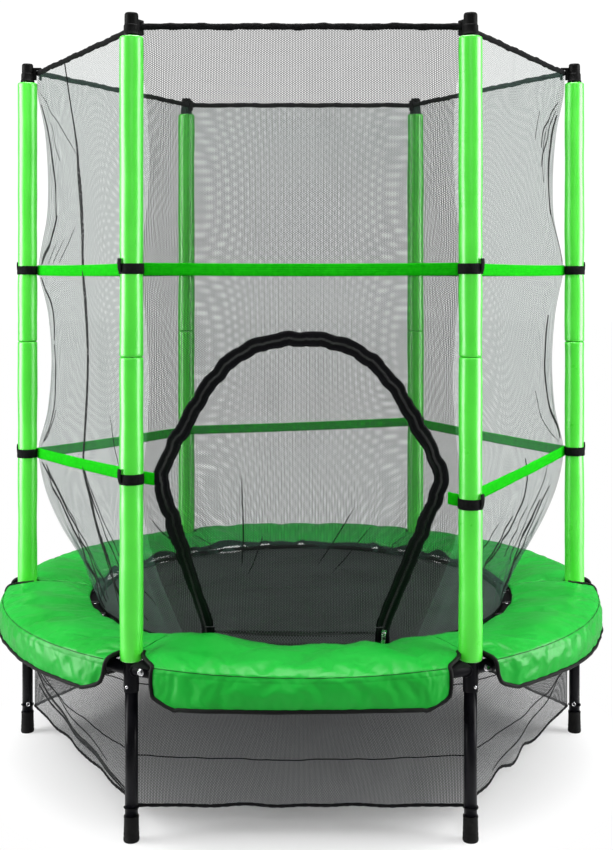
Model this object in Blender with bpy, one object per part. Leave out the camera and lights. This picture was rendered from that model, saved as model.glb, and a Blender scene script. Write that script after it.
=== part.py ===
"""Children's round trampoline with a hexagonal safety enclosure, as separate closed solids."""

import math

import bmesh
import bpy
from mathutils import Vector

# ---------------------------------------------------------------- driving dimensions, metres
GAP = 0.0003  # assembly gap between pieces that touch
LEG_COUNT = 6
LEG_CIRCLE_R = 0.655  # leg, post and ring tube centres
FIRST_LEG_DEG = 240.0  # front left; numbering runs anticlockwise seen from above
TOTAL_H = 1.600

TUBE_R = 0.0125  # steel tube outside radius
TUBE_WALL = 0.0015
SOCKET_R = 0.0150  # welded tee that takes the leg and the post
SOCKET_BORE_R = TUBE_R + GAP
SOCKET_Z = (0.290, 0.3490)
RING_Z = 0.333
RAIL_JOINT_DEG = 4.2  # each ring joint sits this far past its leg
RING_CORNER_DEG = 5.4  # the tube is straight from the leg to past the joint
RAIL_SPIGOT_DEG = 2.5  # how far a rail's reduced end enters the next rail
RAIL_STEPS = 7
TUBE_SIDES = 12

LEG_Z = (0.0058, 0.3190)
POST_SPLIT_Z = 0.9350
POST_SPIGOT_L = 0.050
POST_TOP_Z = 1.5915

FOOT_H = 0.050
FOOT_R = 0.0165

SLEEVE_R = 0.0230
SLEEVE_BORE_R = TUBE_R + GAP
SLEEVE_Z = (0.3495, 1.5530)

CAP_R = 0.0162
CLIP_W = 0.010
CLIP_Z = (1.560, 1.590)

MAT_R = 0.500
MAT_Z = (0.3322, 0.3338)
EYELET_COUNT = 30
EYELET_CIRCLE_R = 0.487
EYELET_R = 0.0045
CORD_R = 0.0025

PAD_INNER_R = 0.495
PAD_OUTER_R = 0.7055
PAD_TOP_Z = 0.3635
PAD_HEM_Z = 0.2930
PAD_HOLE_R = 0.0250

NET_T = 0.0010
NET_TOP_Z = 1.5830
TAPE_T = 0.0022
TAPE_W = 0.0150
STRAP_W = 0.025
STRAP_T = 0.0016
STRAP_R = 0.6316
UPPER_STRAP_Z = 1.105
LOWER_STRAP_Z = 0.670
STRAP_LOOP_R = (0.0233, 0.0246)

SKIRT_HEM_Z = 0.058
SKIRT_TOP_Z = 0.3140
SKIRT_R = 0.6390
SKIRT_LOOP_R = (0.0130, 0.0160)

DOOR_SILL_Z = 0.3840
DOOR_HALF_SILL = (-0.190, 0.165)
# half width and height of the arched top, from the knee to the crown
DOOR_ARCH = [(0.273, 0.695), (0.251, 0.757), (0.228, 0.797), (0.184, 0.872), (0.128, 0.932),
             (0.066, 0.961), (0.0, 0.968)]

# ---------------------------------------------------------------- scene set-up
for stale in list(bpy.data.objects):
    bpy.data.objects.remove(stale, do_unlink=True)

parts = bpy.data.collections.new("kids_trampoline")
cutters = bpy.data.collections.new("cutters")
bpy.context.scene.collection.children.link(parts)
bpy.context.scene.collection.children.link(cutters)


def material(name, colour, roughness, metallic=0.0):
    made = bpy.data.materials.new(name)
    made.use_nodes = True
    shader = made.node_tree.nodes["Principled BSDF"]
    shader.inputs["Base Color"].default_value = (*colour, 1.0)
    shader.inputs["Roughness"].default_value = roughness
    shader.inputs["Metallic"].default_value = metallic
    made.diffuse_color = (*colour, 1.0)
    return made


LIME = (0.10, 0.72, 0.06)
PAD_GREEN = (0.01, 0.42, 0.03)
WEB_GREEN = (0.005, 0.62, 0.01)
BLACK = (0.012, 0.012, 0.014)
MESH_GREY = (0.05, 0.055, 0.055)


# ---------------------------------------------------------------- geometry helpers
def finish(name, bm, colour, roughness, metallic=0.0, where=None):
    """Write a bmesh out as one object with its own material."""
    bmesh.ops.remove_doubles(bm, verts=bm.verts, dist=1e-7)
    bmesh.ops.recalc_face_normals(bm, faces=bm.faces)
    mesh = bpy.data.meshes.new(name)
    bm.to_mesh(mesh)
    bm.free()
    made = bpy.data.objects.new(name, mesh)
    (where or parts).objects.link(made)
    if where is cutters:
        made.hide_render = True
        made.display_type = "WIRE"
    else:
        mesh.materials.append(material(name, colour, roughness, metallic))
    return made


def skin(bm, rings, closed_path, close_ring=True):
    """Quads between consecutive rings of vertices; flat caps when the path is open."""
    count = len(rings)
    for k in range(count if closed_path else count - 1):
        a, b = rings[k], rings[(k + 1) % count]
        n = len(a)
        for i in range(n if close_ring else n - 1):
            j = (i + 1) % n
            bm.faces.new((a[i], a[j], b[j], b[i]))
    if not closed_path:
        bm.faces.new(rings[0])
        bm.faces.new(rings[-1])


def lathe(profile, centre, sides, phase=0.0):
    """A closed profile of (radius, z) turned about a vertical axis at centre."""
    bm = bmesh.new()
    rings = []
    for k in range(sides):
        angle = phase + 2 * math.pi * k / sides
        c, s = math.cos(angle), math.sin(angle)
        rings.append([bm.verts.new((centre[0] + r * c, centre[1] + r * s, z)) for r, z in profile])
    skin(bm, rings, closed_path=True)
    bmesh.ops.remove_doubles(bm, verts=bm.verts, dist=1e-7)
    bmesh.ops.dissolve_degenerate(bm, dist=1e-7, edges=bm.edges)
    bmesh.ops.delete(bm, geom=[e for e in bm.edges if not e.link_faces], context="EDGES")
    return bm


def pipe_profile(inner, outer, low, high, chamfer=0.0):
    if chamfer:
        return [(inner, low), (outer - chamfer, low), (outer, low + chamfer),
                (outer, high - chamfer), (outer - chamfer, high), (inner, high)]
    return [(inner, low), (outer, low), (outer, high), (inner, high)]


def sweep(path, radii, sides, closed=False, bm=None):
    """A round bar along a polyline, mitred at every corner."""
    bm = bm or bmesh.new()
    points = [Vector(p) for p in path]
    count = len(points)
    rings = []
    previous_up = None
    for k, point in enumerate(points):
        before = points[(k - 1) % count] if closed or k else None
        after = points[(k + 1) % count] if closed or k < count - 1 else None
        into = (point - before).normalized() if before is not None else None
        out = (after - point).normalized() if after is not None else None
        into, out = into or out, out or into
        along = (into + out).normalized()
        up = Vector((0, 0, 1)) if previous_up is None else previous_up
        # carry the section's up direction along the path so that it never twists
        up = up - along * up.dot(along)
        if up.length < 1e-4:
            up = Vector((1, 0, 0)) - along * along.x
        up.normalize()
        side = along.cross(up)
        bend = into - out
        stretch, axis = 1.0, None
        if bend.length > 1e-6:
            axis = bend.normalized()
            stretch = 1.0 / max(0.5, along.dot(out))
        ring = []
        radius = radii[k] if isinstance(radii, (list, tuple)) else radii
        for i in range(sides):
            angle = 2 * math.pi * (i + 0.5) / sides
            offset = (side * math.cos(angle) + up * math.sin(angle)) * radius
            if axis is not None:
                offset += axis * offset.dot(axis) * (stretch - 1.0)
            ring.append(bm.verts.new(point + offset))
        rings.append(ring)
        previous_up = up
    skin(bm, rings, closed_path=closed)
    return bm


def boolean(target, cutter, operation):
    """Apply one exact Boolean and drop nothing else."""
    step = target.modifiers.new("step", "BOOLEAN")
    step.operation = operation
    step.solver = "EXACT"
    step.object = cutter
    bpy.context.view_layer.update()
    graph = bpy.context.evaluated_depsgraph_get()
    solid = bpy.data.meshes.new_from_object(target.evaluated_get(graph))
    target.modifiers.clear()
    old = target.data
    target.data = solid
    bpy.data.meshes.remove(old)
    solid.name = target.name
    bm = bmesh.new()
    bm.from_mesh(solid)
    bmesh.ops.remove_doubles(bm, verts=bm.verts, dist=2e-6)
    bmesh.ops.dissolve_degenerate(bm, dist=2e-6, edges=bm.edges)
    bm.to_mesh(solid)
    bm.free()
    while len(solid.materials) > 1:
        solid.materials.pop(index=len(solid.materials) - 1)
    for face in solid.polygons:
        face.material_index = 0


def box(low, high):
    bm = bmesh.new()
    grid = [[[bm.verts.new((x, y, z)) for x in (low[0], high[0])]
             for y in (low[1], high[1])] for z in (low[2], high[2])]
    for a, b in ((0, 1),):
        bm.faces.new((grid[a][0][0], grid[a][1][0], grid[a][1][1], grid[a][0][1]))
        bm.faces.new((grid[b][0][0], grid[b][0][1], grid[b][1][1], grid[b][1][0]))
        bm.faces.new((grid[a][0][0], grid[a][0][1], grid[b][0][1], grid[b][0][0]))
        bm.faces.new((grid[a][1][0], grid[b][1][0], grid[b][1][1], grid[a][1][1]))
        bm.faces.new((grid[a][0][0], grid[b][0][0], grid[b][1][0], grid[a][1][0]))
        bm.faces.new((grid[a][0][1], grid[a][1][1], grid[b][1][1], grid[b][0][1]))
    return bm


def turn(bm, degrees, shift=(0, 0, 0)):
    """Turn a bmesh about the world's vertical axis, then move it."""
    c, s = math.cos(math.radians(degrees)), math.sin(math.radians(degrees))
    for v in bm.verts:
        x, y, z = v.co
        v.co = (c * x - s * y + shift[0], s * x + c * y + shift[1], z + shift[2])
    return bm


def polar(radius, degrees, z=None):
    x = radius * math.cos(math.radians(degrees))
    y = radius * math.sin(math.radians(degrees))
    return (x, y) if z is None else (x, y, z)


def lerp(a, b, t):
    return a + (b - a) * t


def ease(t):
    t = min(1.0, max(0.0, t))
    return t * t * (3 - 2 * t)


def table(stations, z):
    """Smooth value between (z, value) stations."""
    if z <= stations[0][0]:
        return stations[0][1]
    for (z0, v0), (z1, v1) in zip(stations, stations[1:]):
        if z <= z1:
            return lerp(v0, v1, (z - z0) / (z1 - z0))
    return stations[-1][1]


LEG_DEG = [FIRST_LEG_DEG + 360.0 / LEG_COUNT * i for i in range(LEG_COUNT)]
LEG_XY = [polar(LEG_CIRCLE_R, a) for a in LEG_DEG]

# ---------------------------------------------------------------- ring rails with welded tees
# the ring is a polygon with corners at these angles past each leg
ring_steps = [0.0] + [lerp(RING_CORNER_DEG, 60.0, k / RAIL_STEPS) for k in range(RAIL_STEPS + 1)]


def ring_point(degrees):
    """A point of the ring's centre line: on the straight run between two corners."""
    base = math.floor((degrees - FIRST_LEG_DEG) / 60.0) * 60.0 + FIRST_LEG_DEG
    local = degrees - base
    for a, b in zip(ring_steps, ring_steps[1:]):
        if local <= b + 1e-9:
            p, q = Vector(polar(LEG_CIRCLE_R, base + a)), Vector(polar(LEG_CIRCLE_R, base + b))
            t = math.tan(math.radians(local - (a + b) / 2)) / math.tan(math.radians((b - a) / 2))
            return (p + q) / 2 + (q - p) / 2 * t
    raise ValueError(degrees)


def ring_path(low, high):
    """Corners of the ring between two angles, with its ends."""
    corners = {low, high}
    for turn_no in range(-1, 8):
        for step in ring_steps[:-1]:
            angle = FIRST_LEG_DEG + 60.0 * turn_no + step
            if low + 1e-6 < angle < high - 1e-6:
                corners.add(angle)
    return sorted(corners)


for i, leg_deg in enumerate(LEG_DEG):
    start = leg_deg - 60.0 + RAIL_JOINT_DEG + GAP / LEG_CIRCLE_R * 57.3
    end = leg_deg + RAIL_JOINT_DEG
    tip = start - RAIL_SPIGOT_DEG
    angles = ring_path(start, end)
    # outside: the reduced spigot, its shoulder, then the full tube
    outer_path = [tip, start, start + 0.005] + angles[1:]
    outer_r = [TUBE_R - TUBE_WALL - GAP] * 2 + [TUBE_R] * (len(angles))
    bore_path = [tip - 0.2, start + 0.1] + [start + 0.6] + angles[1:]
    bore_r = [TUBE_R - 2 * TUBE_WALL - GAP] * 2 + [TUBE_R - TUBE_WALL] * (len(angles))

    def at(path):
        return [(*ring_point(a), RING_Z) for a in path]

    rail = finish(f"frame_rail_{i + 1}", sweep(at(outer_path), outer_r, 10), BLACK, 0.35)
    tee = finish("tee", lathe([(0, SOCKET_Z[0]), (SOCKET_R, SOCKET_Z[0]), (SOCKET_R, SOCKET_Z[1]),
                               (0, SOCKET_Z[1])], LEG_XY[i], TUBE_SIDES), BLACK, 0.4, where=cutters)
    # the bore runs straight on out of the rail's open end
    bore_line = at(bore_path)
    last, before = Vector(bore_line[-1]), Vector(bore_line[-2])
    bore_line[-1] = last + (last - before).normalized() * 0.004
    bore = finish("rail_bore", sweep(bore_line, bore_r, 10), BLACK, 0.4, where=cutters)
    well = finish("tee_bore", lathe([(0, 0.25), (SOCKET_BORE_R, 0.25), (SOCKET_BORE_R, 0.40),
                                     (0, 0.40)], LEG_XY[i], TUBE_SIDES), BLACK, 0.4, where=cutters)
    boolean(rail, tee, "UNION")
    boolean(rail, bore, "DIFFERENCE")
    boolean(rail, well, "DIFFERENCE")

# ---------------------------------------------------------------- legs, feet, posts, sleeves, caps
TUBE_BORE = TUBE_R - TUBE_WALL
for i, centre in enumerate(LEG_XY):
    number = i + 1
    finish(f"leg_{number}", lathe(pipe_profile(TUBE_BORE, TUBE_R, *LEG_Z), centre, TUBE_SIDES),
           BLACK, 0.35)
    finish(f"foot_cap_{number}", lathe(
        [(0, 0), (FOOT_R - 0.001, 0), (FOOT_R, 0.0015), (FOOT_R - 0.0004, 0.012),
         (FOOT_R - 0.0014, 0.026), (FOOT_R - 0.0016, FOOT_H - 0.001), (FOOT_R - 0.0026, FOOT_H),
         (TUBE_R + GAP, FOOT_H), (TUBE_R + GAP, LEG_Z[0] - GAP), (0, LEG_Z[0] - GAP)],
        centre, TUBE_SIDES), BLACK, 0.7)
    # the lower post ends in a reduced spigot that the upper post slides over
    low, split = LEG_Z[1] + GAP, POST_SPLIT_Z
    spigot_r = TUBE_BORE - GAP
    finish(f"lower_post_{number}", lathe(
        [(TUBE_BORE, low), (TUBE_R, low), (TUBE_R, split), (spigot_r, split),
         (spigot_r, split + POST_SPIGOT_L), (spigot_r - TUBE_WALL, split + POST_SPIGOT_L),
         (spigot_r - TUBE_WALL, split - 0.002), (TUBE_BORE, split - 0.006)],
        centre, TUBE_SIDES), BLACK, 0.35)
    finish(f"upper_post_{number}", lathe(
        pipe_profile(TUBE_BORE, TUBE_R, split + GAP, POST_TOP_Z), centre, TUBE_SIDES), BLACK, 0.35)
    finish(f"lower_sleeve_{number}", lathe(
        pipe_profile(SLEEVE_BORE_R, SLEEVE_R, SLEEVE_Z[0], split - GAP, 0.0015), centre, 16),
        LIME, 0.45)
    finish(f"upper_sleeve_{number}", lathe(
        pipe_profile(SLEEVE_BORE_R, SLEEVE_R, split + GAP, SLEEVE_Z[1], 0.0015), centre, 16),
        LIME, 0.45)
    cap = finish(f"post_cap_{number}", lathe(
        [(TUBE_R + GAP, SLEEVE_Z[1] + GAP), (CAP_R, SLEEVE_Z[1] + GAP), (CAP_R, TOTAL_H - 0.004),
         (CAP_R - 0.004, TOTAL_H), (0, TOTAL_H), (0, POST_TOP_Z + GAP),
         (TUBE_R + GAP, POST_TOP_Z + GAP)], centre, 16), BLACK, 0.5)
    # a hooked clip on the cap's inner side holds the net's top hem from above
    inner = LEG_CIRCLE_R - CAP_R
    clip = turn(box((inner - 0.0165, -CLIP_W / 2, CLIP_Z[0]), (inner + 0.0022, CLIP_W / 2, CLIP_Z[1])),
                LEG_DEG[i])
    slot = turn(box((inner - 0.0122, -CLIP_W, CLIP_Z[0] - 0.01), (inner - 0.0055, CLIP_W,
                                                                NET_TOP_Z + 0.0006)), LEG_DEG[i])
    clip = finish("clip", clip, BLACK, 0.5, where=cutters)
    slot = finish("clip_slot", slot, BLACK, 0.5, where=cutters)
    boolean(clip, slot, "DIFFERENCE")
    boolean(cap, clip, "UNION")

# ---------------------------------------------------------------- jumping mat with eyelet holes
mat = finish("jump_mat", lathe([(0, MAT_Z[0]), (MAT_R, MAT_Z[0]), (MAT_R, MAT_Z[1]), (0, MAT_Z[1])],
                               (0, 0), 60), BLACK, 0.8)
holes = bmesh.new()
for k in range(EYELET_COUNT):
    centre = polar(EYELET_CIRCLE_R, 360.0 / EYELET_COUNT * k)
    one = lathe([(0, MAT_Z[0] - 0.01), (EYELET_R, MAT_Z[0] - 0.01), (EYELET_R, MAT_Z[1] + 0.01),
                 (0, MAT_Z[1] + 0.01)], centre, 6)
    mesh = bpy.data.meshes.new("one_hole")
    one.to_mesh(mesh)
    one.free()
    holes.from_mesh(mesh)
    bpy.data.meshes.remove(mesh)
boolean(mat, finish("eyelet_holes", holes, BLACK, 0.5, where=cutters), "DIFFERENCE")

# ---------------------------------------------------------------- elastic cord lacing mat to ring
# up through an eyelet, out over the ring, round it, back underneath to the next eyelet
cord_path = []
pitch = 360.0 / EYELET_COUNT
over_z = MAT_Z[1] + CORD_R + GAP
under_z = MAT_Z[0] - CORD_R - GAP
wrap_r = (TUBE_R + CORD_R + GAP) / math.cos(math.radians(24))
for k in range(EYELET_COUNT):
    here = pitch * k
    cord_path += [(*polar(EYELET_CIRCLE_R, here), under_z), (*polar(EYELET_CIRCLE_R, here), over_z)]
    out_dir = Vector(polar(1.0, here + pitch / 2))
    for turn_no in range(5):
        roll = math.radians(96 - 48 * turn_no)
        angle = here + pitch * (0.5 + 0.075 * (turn_no - 2))
        # stay square to the ring tube so that the cord lies on it all the way round
        spot = ring_point(angle) + out_dir * wrap_r * math.cos(roll)
        cord_path.append((spot.x, spot.y, RING_Z + wrap_r * math.sin(roll)))
finish("elastic_cord", sweep(cord_path, CORD_R, 5, closed=True), BLACK, 0.6)

# ---------------------------------------------------------------- safety pad with valance
r0, r1 = PAD_INNER_R, PAD_OUTER_R
pad = finish("safety_pad", lathe(
    [(r0, 0.3452), (r0 + 0.010, 0.3505), (0.560, 0.3610), (0.620, PAD_TOP_Z), (0.672, PAD_TOP_Z),
     (r1 - 0.008, 0.3590), (r1 - 0.001, 0.3510), (r1, PAD_HEM_Z), (r1 - 0.0015, PAD_HEM_Z),
     (r1 - 0.0025, 0.3460), (r1 - 0.012, 0.3525), (0.620, 0.3525), (r0 + 0.004, 0.3435)],
    (0, 0), 66), PAD_GREEN, 0.35)
for i, leg_deg in enumerate(LEG_DEG):
    hole = finish("pad_hole", lathe([(0, 0.30), (PAD_HOLE_R, 0.30), (PAD_HOLE_R, 0.40), (0, 0.40)],
                                    LEG_XY[i], 16), BLACK, 0.5, where=cutters)
    # bell-shaped notch that clears the post and opens the valance
    bell = [(-0.075, 0.28), (0.075, 0.28), (0.072, 0.296), (0.058, 0.301), (0.042, 0.312),
            (0.034, 0.330), (0.031, 0.350), (0.026, 0.40), (-0.026, 0.40), (-0.031, 0.350),
            (-0.034, 0.330), (-0.042, 0.312), (-0.058, 0.301), (-0.072, 0.296)]
    bm = bmesh.new()
    near = [bm.verts.new((LEG_CIRCLE_R + 0.014, t, z)) for t, z in bell]
    far = [bm.verts.new((PAD_OUTER_R + 0.05, t, z)) for t, z in bell]
    skin(bm, [near, far], closed_path=False)
    notch = finish("pad_notch", turn(bm, leg_deg), BLACK, 0.5, where=cutters)
    boolean(pad, hole, "DIFFERENCE")
    boolean(pad, notch, "DIFFERENCE")

# ---------------------------------------------------------------- enclosure net
# radius at the posts and at mid panel, by height: drawn in between the rows of straps
NET_AT_POST = [(0.3342, 0.470), (0.360, 0.484), (0.410, 0.516), (0.507, 0.571), (0.670, 0.6290),
               (0.780, 0.606), (0.890, 0.600), (1.000, 0.608), (1.105, 0.6290), (1.250, 0.597),
               (1.430, 0.598), (1.553, 0.6305), (1.583, 0.6310)]
NET_AT_MID = [(0.3342, 0.474), (0.360, 0.4835), (0.410, 0.494), (0.507, 0.515), (0.670, 0.5440),
              (0.780, 0.538), (0.890, 0.534), (1.000, 0.538), (1.105, 0.5440), (1.250, 0.532),
              (1.430, 0.532), (1.553, 0.5450), (1.583, 0.5465)]
NET_STEPS = 60
NET_LEVELS = [z for z, _ in NET_AT_POST]


def panel_share(degrees):
    """0 at a post, 1 at mid panel; the value that makes a straight chord between posts."""
    local = math.radians((degrees - FIRST_LEG_DEG) % 60.0 - 30.0)
    chord = math.cos(math.radians(30.0)) / math.cos(local)
    return (1.0 - chord) / (1.0 - math.cos(math.radians(30.0)))


def net_radius(degrees, z):
    return lerp(table(NET_AT_POST, z), table(NET_AT_MID, z), panel_share(degrees))


def net_shell(thickness, low, high, first, last):
    """A slice of the net's surface, thickened inwards and outwards by half each."""
    closed = last - first >= 360.0
    steps = round((last - first) / (360.0 / NET_STEPS))
    levels = [low] + [z for z in NET_LEVELS if low + 0.002 < z < high - 0.002] + [high]
    bm = bmesh.new()
    rings = []
    for k in range(steps if closed else steps + 1):
        angle = first + (last - first) * k / steps
        ring = []
        for side, order in ((1, levels), (-1, levels[::-1])):
            for z in order:
                radius = net_radius(angle, z) + side * thickness / 2
                ring.append(bm.verts.new(polar(radius, angle, z)))
        rings.append(ring)
    skin(bm, rings, closed_path=closed)
    bmesh.ops.triangulate(bm, faces=bm.faces)
    return bm


def arch(side):
    """One half of the doorway's outline from sill to crown."""
    sill = abs(DOOR_HALF_SILL[0 if side < 0 else 1])
    knee_x, knee_z = DOOR_ARCH[0]
    points = [(sill, DOOR_SILL_Z - 0.03), (sill, DOOR_SILL_Z)]
    points += [(lerp(sill, knee_x, t), lerp(DOOR_SILL_Z, knee_z, t)) for t in (0.25, 0.5, 0.75)]
    # above the knee the outline is a smooth curve through the arch's stations
    stations = [points[-1], *DOOR_ARCH, (-DOOR_ARCH[-2][0], DOOR_ARCH[-2][1])]
    for k in range(1, len(stations) - 2):
        p0, p1, p2, p3 = (Vector(stations[k + d]) for d in (-1, 0, 1, 2))
        for t in (0.0, 0.5):
            spot = 0.5 * (2 * p1 + (p2 - p0) * t + (2 * p0 - 5 * p1 + 4 * p2 - p3) * t**2
                          + (3 * p1 - p0 - 3 * p2 + p3) * t**3)
            points.append((spot.x, spot.y))
    points.append(DOOR_ARCH[-1])
    return [(side * x, z) for x, z in points]


door_line = arch(-1)[:-1] + arch(1)[::-1]


def grown(line, amount):
    """The outline moved outwards (or inwards when negative) square to itself."""
    moved = []
    for k, (x, z) in enumerate(line):
        a, b = line[max(0, k - 1)], line[min(len(line) - 1, k + 1)]
        tangent = Vector((b[0] - a[0], b[1] - a[1])).normalized()
        moved.append((x - tangent.y * amount, z + tangent.x * amount))
    return moved


def door_prism(name, outline, sill):
    """A prism of the outline closed along a level sill, running through the front panel."""
    kept = [(x, z) for x, z in outline if z > sill + 0.002]
    left, right = outline[0][0], outline[-1][0]
    kept = [(left, sill)] + kept + [(right, sill)]
    bm = bmesh.new()
    near = [bm.verts.new((x, -0.70, z)) for x, z in kept]
    far = [bm.verts.new((x, -0.30, z)) for x, z in kept]
    skin(bm, [near, far], closed_path=False)
    return finish(name, bm, BLACK, 0.5, where=cutters)


def tape_ring(name, inner_by, outer_by, foot):
    """The band between two offsets of the outline, open along the sill."""
    inside, outside = grown(door_line, inner_by), grown(door_line, outer_by)
    above = [k for k, (_, z) in enumerate(door_line) if z > foot + 0.002]

    def footed(line):
        return [(line[0][0], foot)] + [line[k] for k in above] + [(line[-1][0], foot)]

    inside, outside = footed(inside), footed(outside)
    bm = bmesh.new()
    rings = []
    for (xi, zi), (xo, zo) in zip(inside, outside, strict=True):
        rings.append([bm.verts.new(v) for v in ((xi, -0.70, zi), (xo, -0.70, zo),
                                                (xo, -0.30, zo), (xi, -0.30, zi))])
    skin(bm, rings, closed_path=False)
    return finish(name, bm, BLACK, 0.5, where=cutters)


HALF = 0.0004  # half the gap along each edge in the cloth
net = finish("enclosure_net", net_shell(NET_T, 0.3342, NET_TOP_Z, 0.0, 360.0), MESH_GREY, 0.8)
boolean(net, door_prism("doorway", grown(door_line, TAPE_W + 2 * HALF), DOOR_SILL_Z - 0.0140),
        "DIFFERENCE")

door = finish("door_panel", net_shell(NET_T, 0.350, 1.060, 234.0, 306.0), MESH_GREY, 0.8)
boolean(door, door_prism("door_edge", grown(door_line, -TAPE_W - 2 * HALF), DOOR_SILL_Z + HALF),
        "INTERSECT")

tape = finish("zip_tape_outer", net_shell(TAPE_T, 0.340, 1.060, 234.0, 306.0), BLACK, 0.6)
boolean(tape, tape_ring("outer_tape_edge", HALF, TAPE_W, DOOR_SILL_Z - 0.0136), "INTERSECT")

tape = finish("zip_tape_inner", net_shell(TAPE_T, 0.340, 1.060, 234.0, 306.0), BLACK, 0.6)
boolean(tape, tape_ring("inner_tape_edge", -TAPE_W, -HALF, DOOR_SILL_Z + HALF), "INTERSECT")


# ---------------------------------------------------------------- green straps with post loops
def strap(name, z, first, last):
    """Flat webbing along the hexagon just outside the net, with a loop round every post."""
    bm = bmesh.new()
    low, high = z - STRAP_W / 2, z + STRAP_W / 2
    closed = last - first >= 360.0 - 1e-6
    corners = [FIRST_LEG_DEG + 60.0 * k for k in range(12)]
    stations = corners[:LEG_COUNT] if closed else sorted(
        {first, last, *(a for a in corners if first < a < last)})
    rings = []
    for angle in stations:
        local = math.radians((angle - FIRST_LEG_DEG) % 60.0 - 30.0)
        reach = math.cos(math.radians(30.0)) / math.cos(local)
        outer, inner = STRAP_R * reach, (STRAP_R - STRAP_T) * reach
        rings.append([bm.verts.new(polar(r, angle, h)) for r, h in
                      ((inner, low), (outer, low), (outer, high), (inner, high))])
    skin(bm, rings, closed_path=closed)
    web = finish(name, bm, WEB_GREEN, 0.6)
    for i, centre in enumerate(LEG_XY):
        loop = lathe(pipe_profile(*STRAP_LOOP_R, low + 0.0005, high - 0.0005), centre, 16)
        boolean(web, finish("loop", loop, BLACK, 0.5, where=cutters), "UNION")
    return web


strap("upper_strap", UPPER_STRAP_Z, FIRST_LEG_DEG, FIRST_LEG_DEG + 360.0)
knee_deg = math.degrees(math.atan2(DOOR_ARCH[0][0] + TAPE_W + 0.004, 0.546))
strap("lower_strap", LOWER_STRAP_Z, 270.0 + knee_deg, 630.0 - knee_deg)


# ---------------------------------------------------------------- lower skirt net
def skirt():
    """Mesh wall inside the legs: straight hem from leg to leg, round at the top."""
    levels = [(SKIRT_HEM_Z, 0.0022), (SKIRT_HEM_Z + 0.010, 0.0022), (SKIRT_HEM_Z + 0.0105, 0.0010),
              (0.150, 0.0010), (0.230, 0.0010), (SKIRT_TOP_Z, 0.0010)]
    bm = bmesh.new()
    rings, parity = [], {}
    for k in range(60):
        angle = FIRST_LEG_DEG + 6.0 * k
        chord = 1.0 - (1.0 - math.cos(math.radians(30.0))) * panel_share(angle)
        ring = []
        for side, order in ((1, levels), (-1, levels[::-1])):
            for z, t in order:
                rise = max(0.0, (z - SKIRT_HEM_Z) / (SKIRT_TOP_Z - SKIRT_HEM_Z)) ** 1.4
                radius = SKIRT_R * lerp(chord, 1.0, rise)
                vert = bm.verts.new(polar(radius + (t - 0.0010 if side > 0 else -0.0010), angle, z))
                parity[vert] = (k + levels.index((z, t))) % 2
                ring.append(vert)
        rings.append(ring)
    skin(bm, rings, closed_path=True)
    # the wall is twisted, so both its sides take the same diagonals and can't cross
    for face in list(bm.faces):
        even = [v for v in face.verts if parity[v] == 0]
        if len(face.verts) == 4 and len(even) == 2 and not bm.edges.get(even):
            bmesh.utils.face_split(face, *even)
    return bm


skirt_net = finish("skirt_net", skirt(), MESH_GREY, 0.8)
for i, centre in enumerate(LEG_XY):
    loop = lathe(pipe_profile(*SKIRT_LOOP_R, SKIRT_HEM_Z + 0.001, SKIRT_HEM_Z + 0.009), centre, 16)
    boolean(skirt_net, finish("leg_loop", loop, BLACK, 0.5, where=cutters), "UNION")

# ---------------------------------------------------------------- zip slider and its pull
def net_point(x, z):
    """The point of the front panel at a given x and height."""
    degrees = 288.0
    for _ in range(8):
        radius = net_radius(degrees, z)
        degrees = 360.0 + math.degrees(math.atan2(-math.sqrt(radius**2 - x**2), x))
    return Vector((x, radius * math.sin(math.radians(degrees)), z))


# the slider stands on the closed zip just below the sill, outside the net, in line with the zip
foot = net_point(DOOR_HALF_SILL[1], DOOR_SILL_Z - 0.0125)
zip_up = (net_point(DOOR_HALF_SILL[1] + 0.022, 0.455) - foot).normalized()
zip_across = zip_up.cross(Vector((foot.x, foot.y, 0)).normalized()).normalized()
zip_out = zip_across.cross(zip_up).normalized()
if zip_out.dot(Vector((foot.x, foot.y, 0))) < 0:
    zip_across, zip_out = -zip_across, -zip_out
SLIDER_L = 0.0190
stand = TAPE_T / 2 + 0.0010


def on_zip(bm):
    """Carry a bmesh drawn across, out of and up the zip to its place on the net."""
    for v in bm.verts:
        across, out, up = v.co
        v.co = foot + zip_across * across + zip_out * (stand + out) + zip_up * up
    return bm


half = SLIDER_L / 2
slider = finish("zip_slider", on_zip(box((-0.0055, 0, -half), (0.0055, 0.0035, half))),
                (0.75, 0.75, 0.77), 0.25, 1.0)
bridge = finish("slider_bridge", on_zip(box((-0.0016, 0.0030, -0.0065), (0.0016, 0.0085, 0.0065))),
                BLACK, 0.5, where=cutters)
eye = finish("slider_eye", on_zip(box((-0.01, 0.0037, -0.0042), (0.01, 0.0068, 0.0042))),
             BLACK, 0.5, where=cutters)
boolean(bridge, eye, "DIFFERENCE")
boolean(slider, bridge, "UNION")

# the pull is a flat tab with a window at its upper end that threads the slider's bridge;
# it hangs straight down from its top bar while the zip leans
PULL_TOP, PULL_L, PULL_OUT, PULL_T = 0.0025, 0.0215, 0.0046, 0.0012
pivot_out, pivot_up = PULL_OUT + PULL_T / 2, PULL_TOP - PULL_T / 2
lean = math.atan2(-zip_out.z, zip_up.z)


def hung(bm):
    """Swing a bmesh drawn on the zip about the pull's top bar until it hangs plumb."""
    c, s = math.cos(lean), math.sin(lean)
    for v in bm.verts:
        across, out, up = v.co
        out, up = out - pivot_out, up - pivot_up
        v.co = (across, pivot_out + out * c - up * s, pivot_up + out * s + up * c)
    return on_zip(bm)


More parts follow.
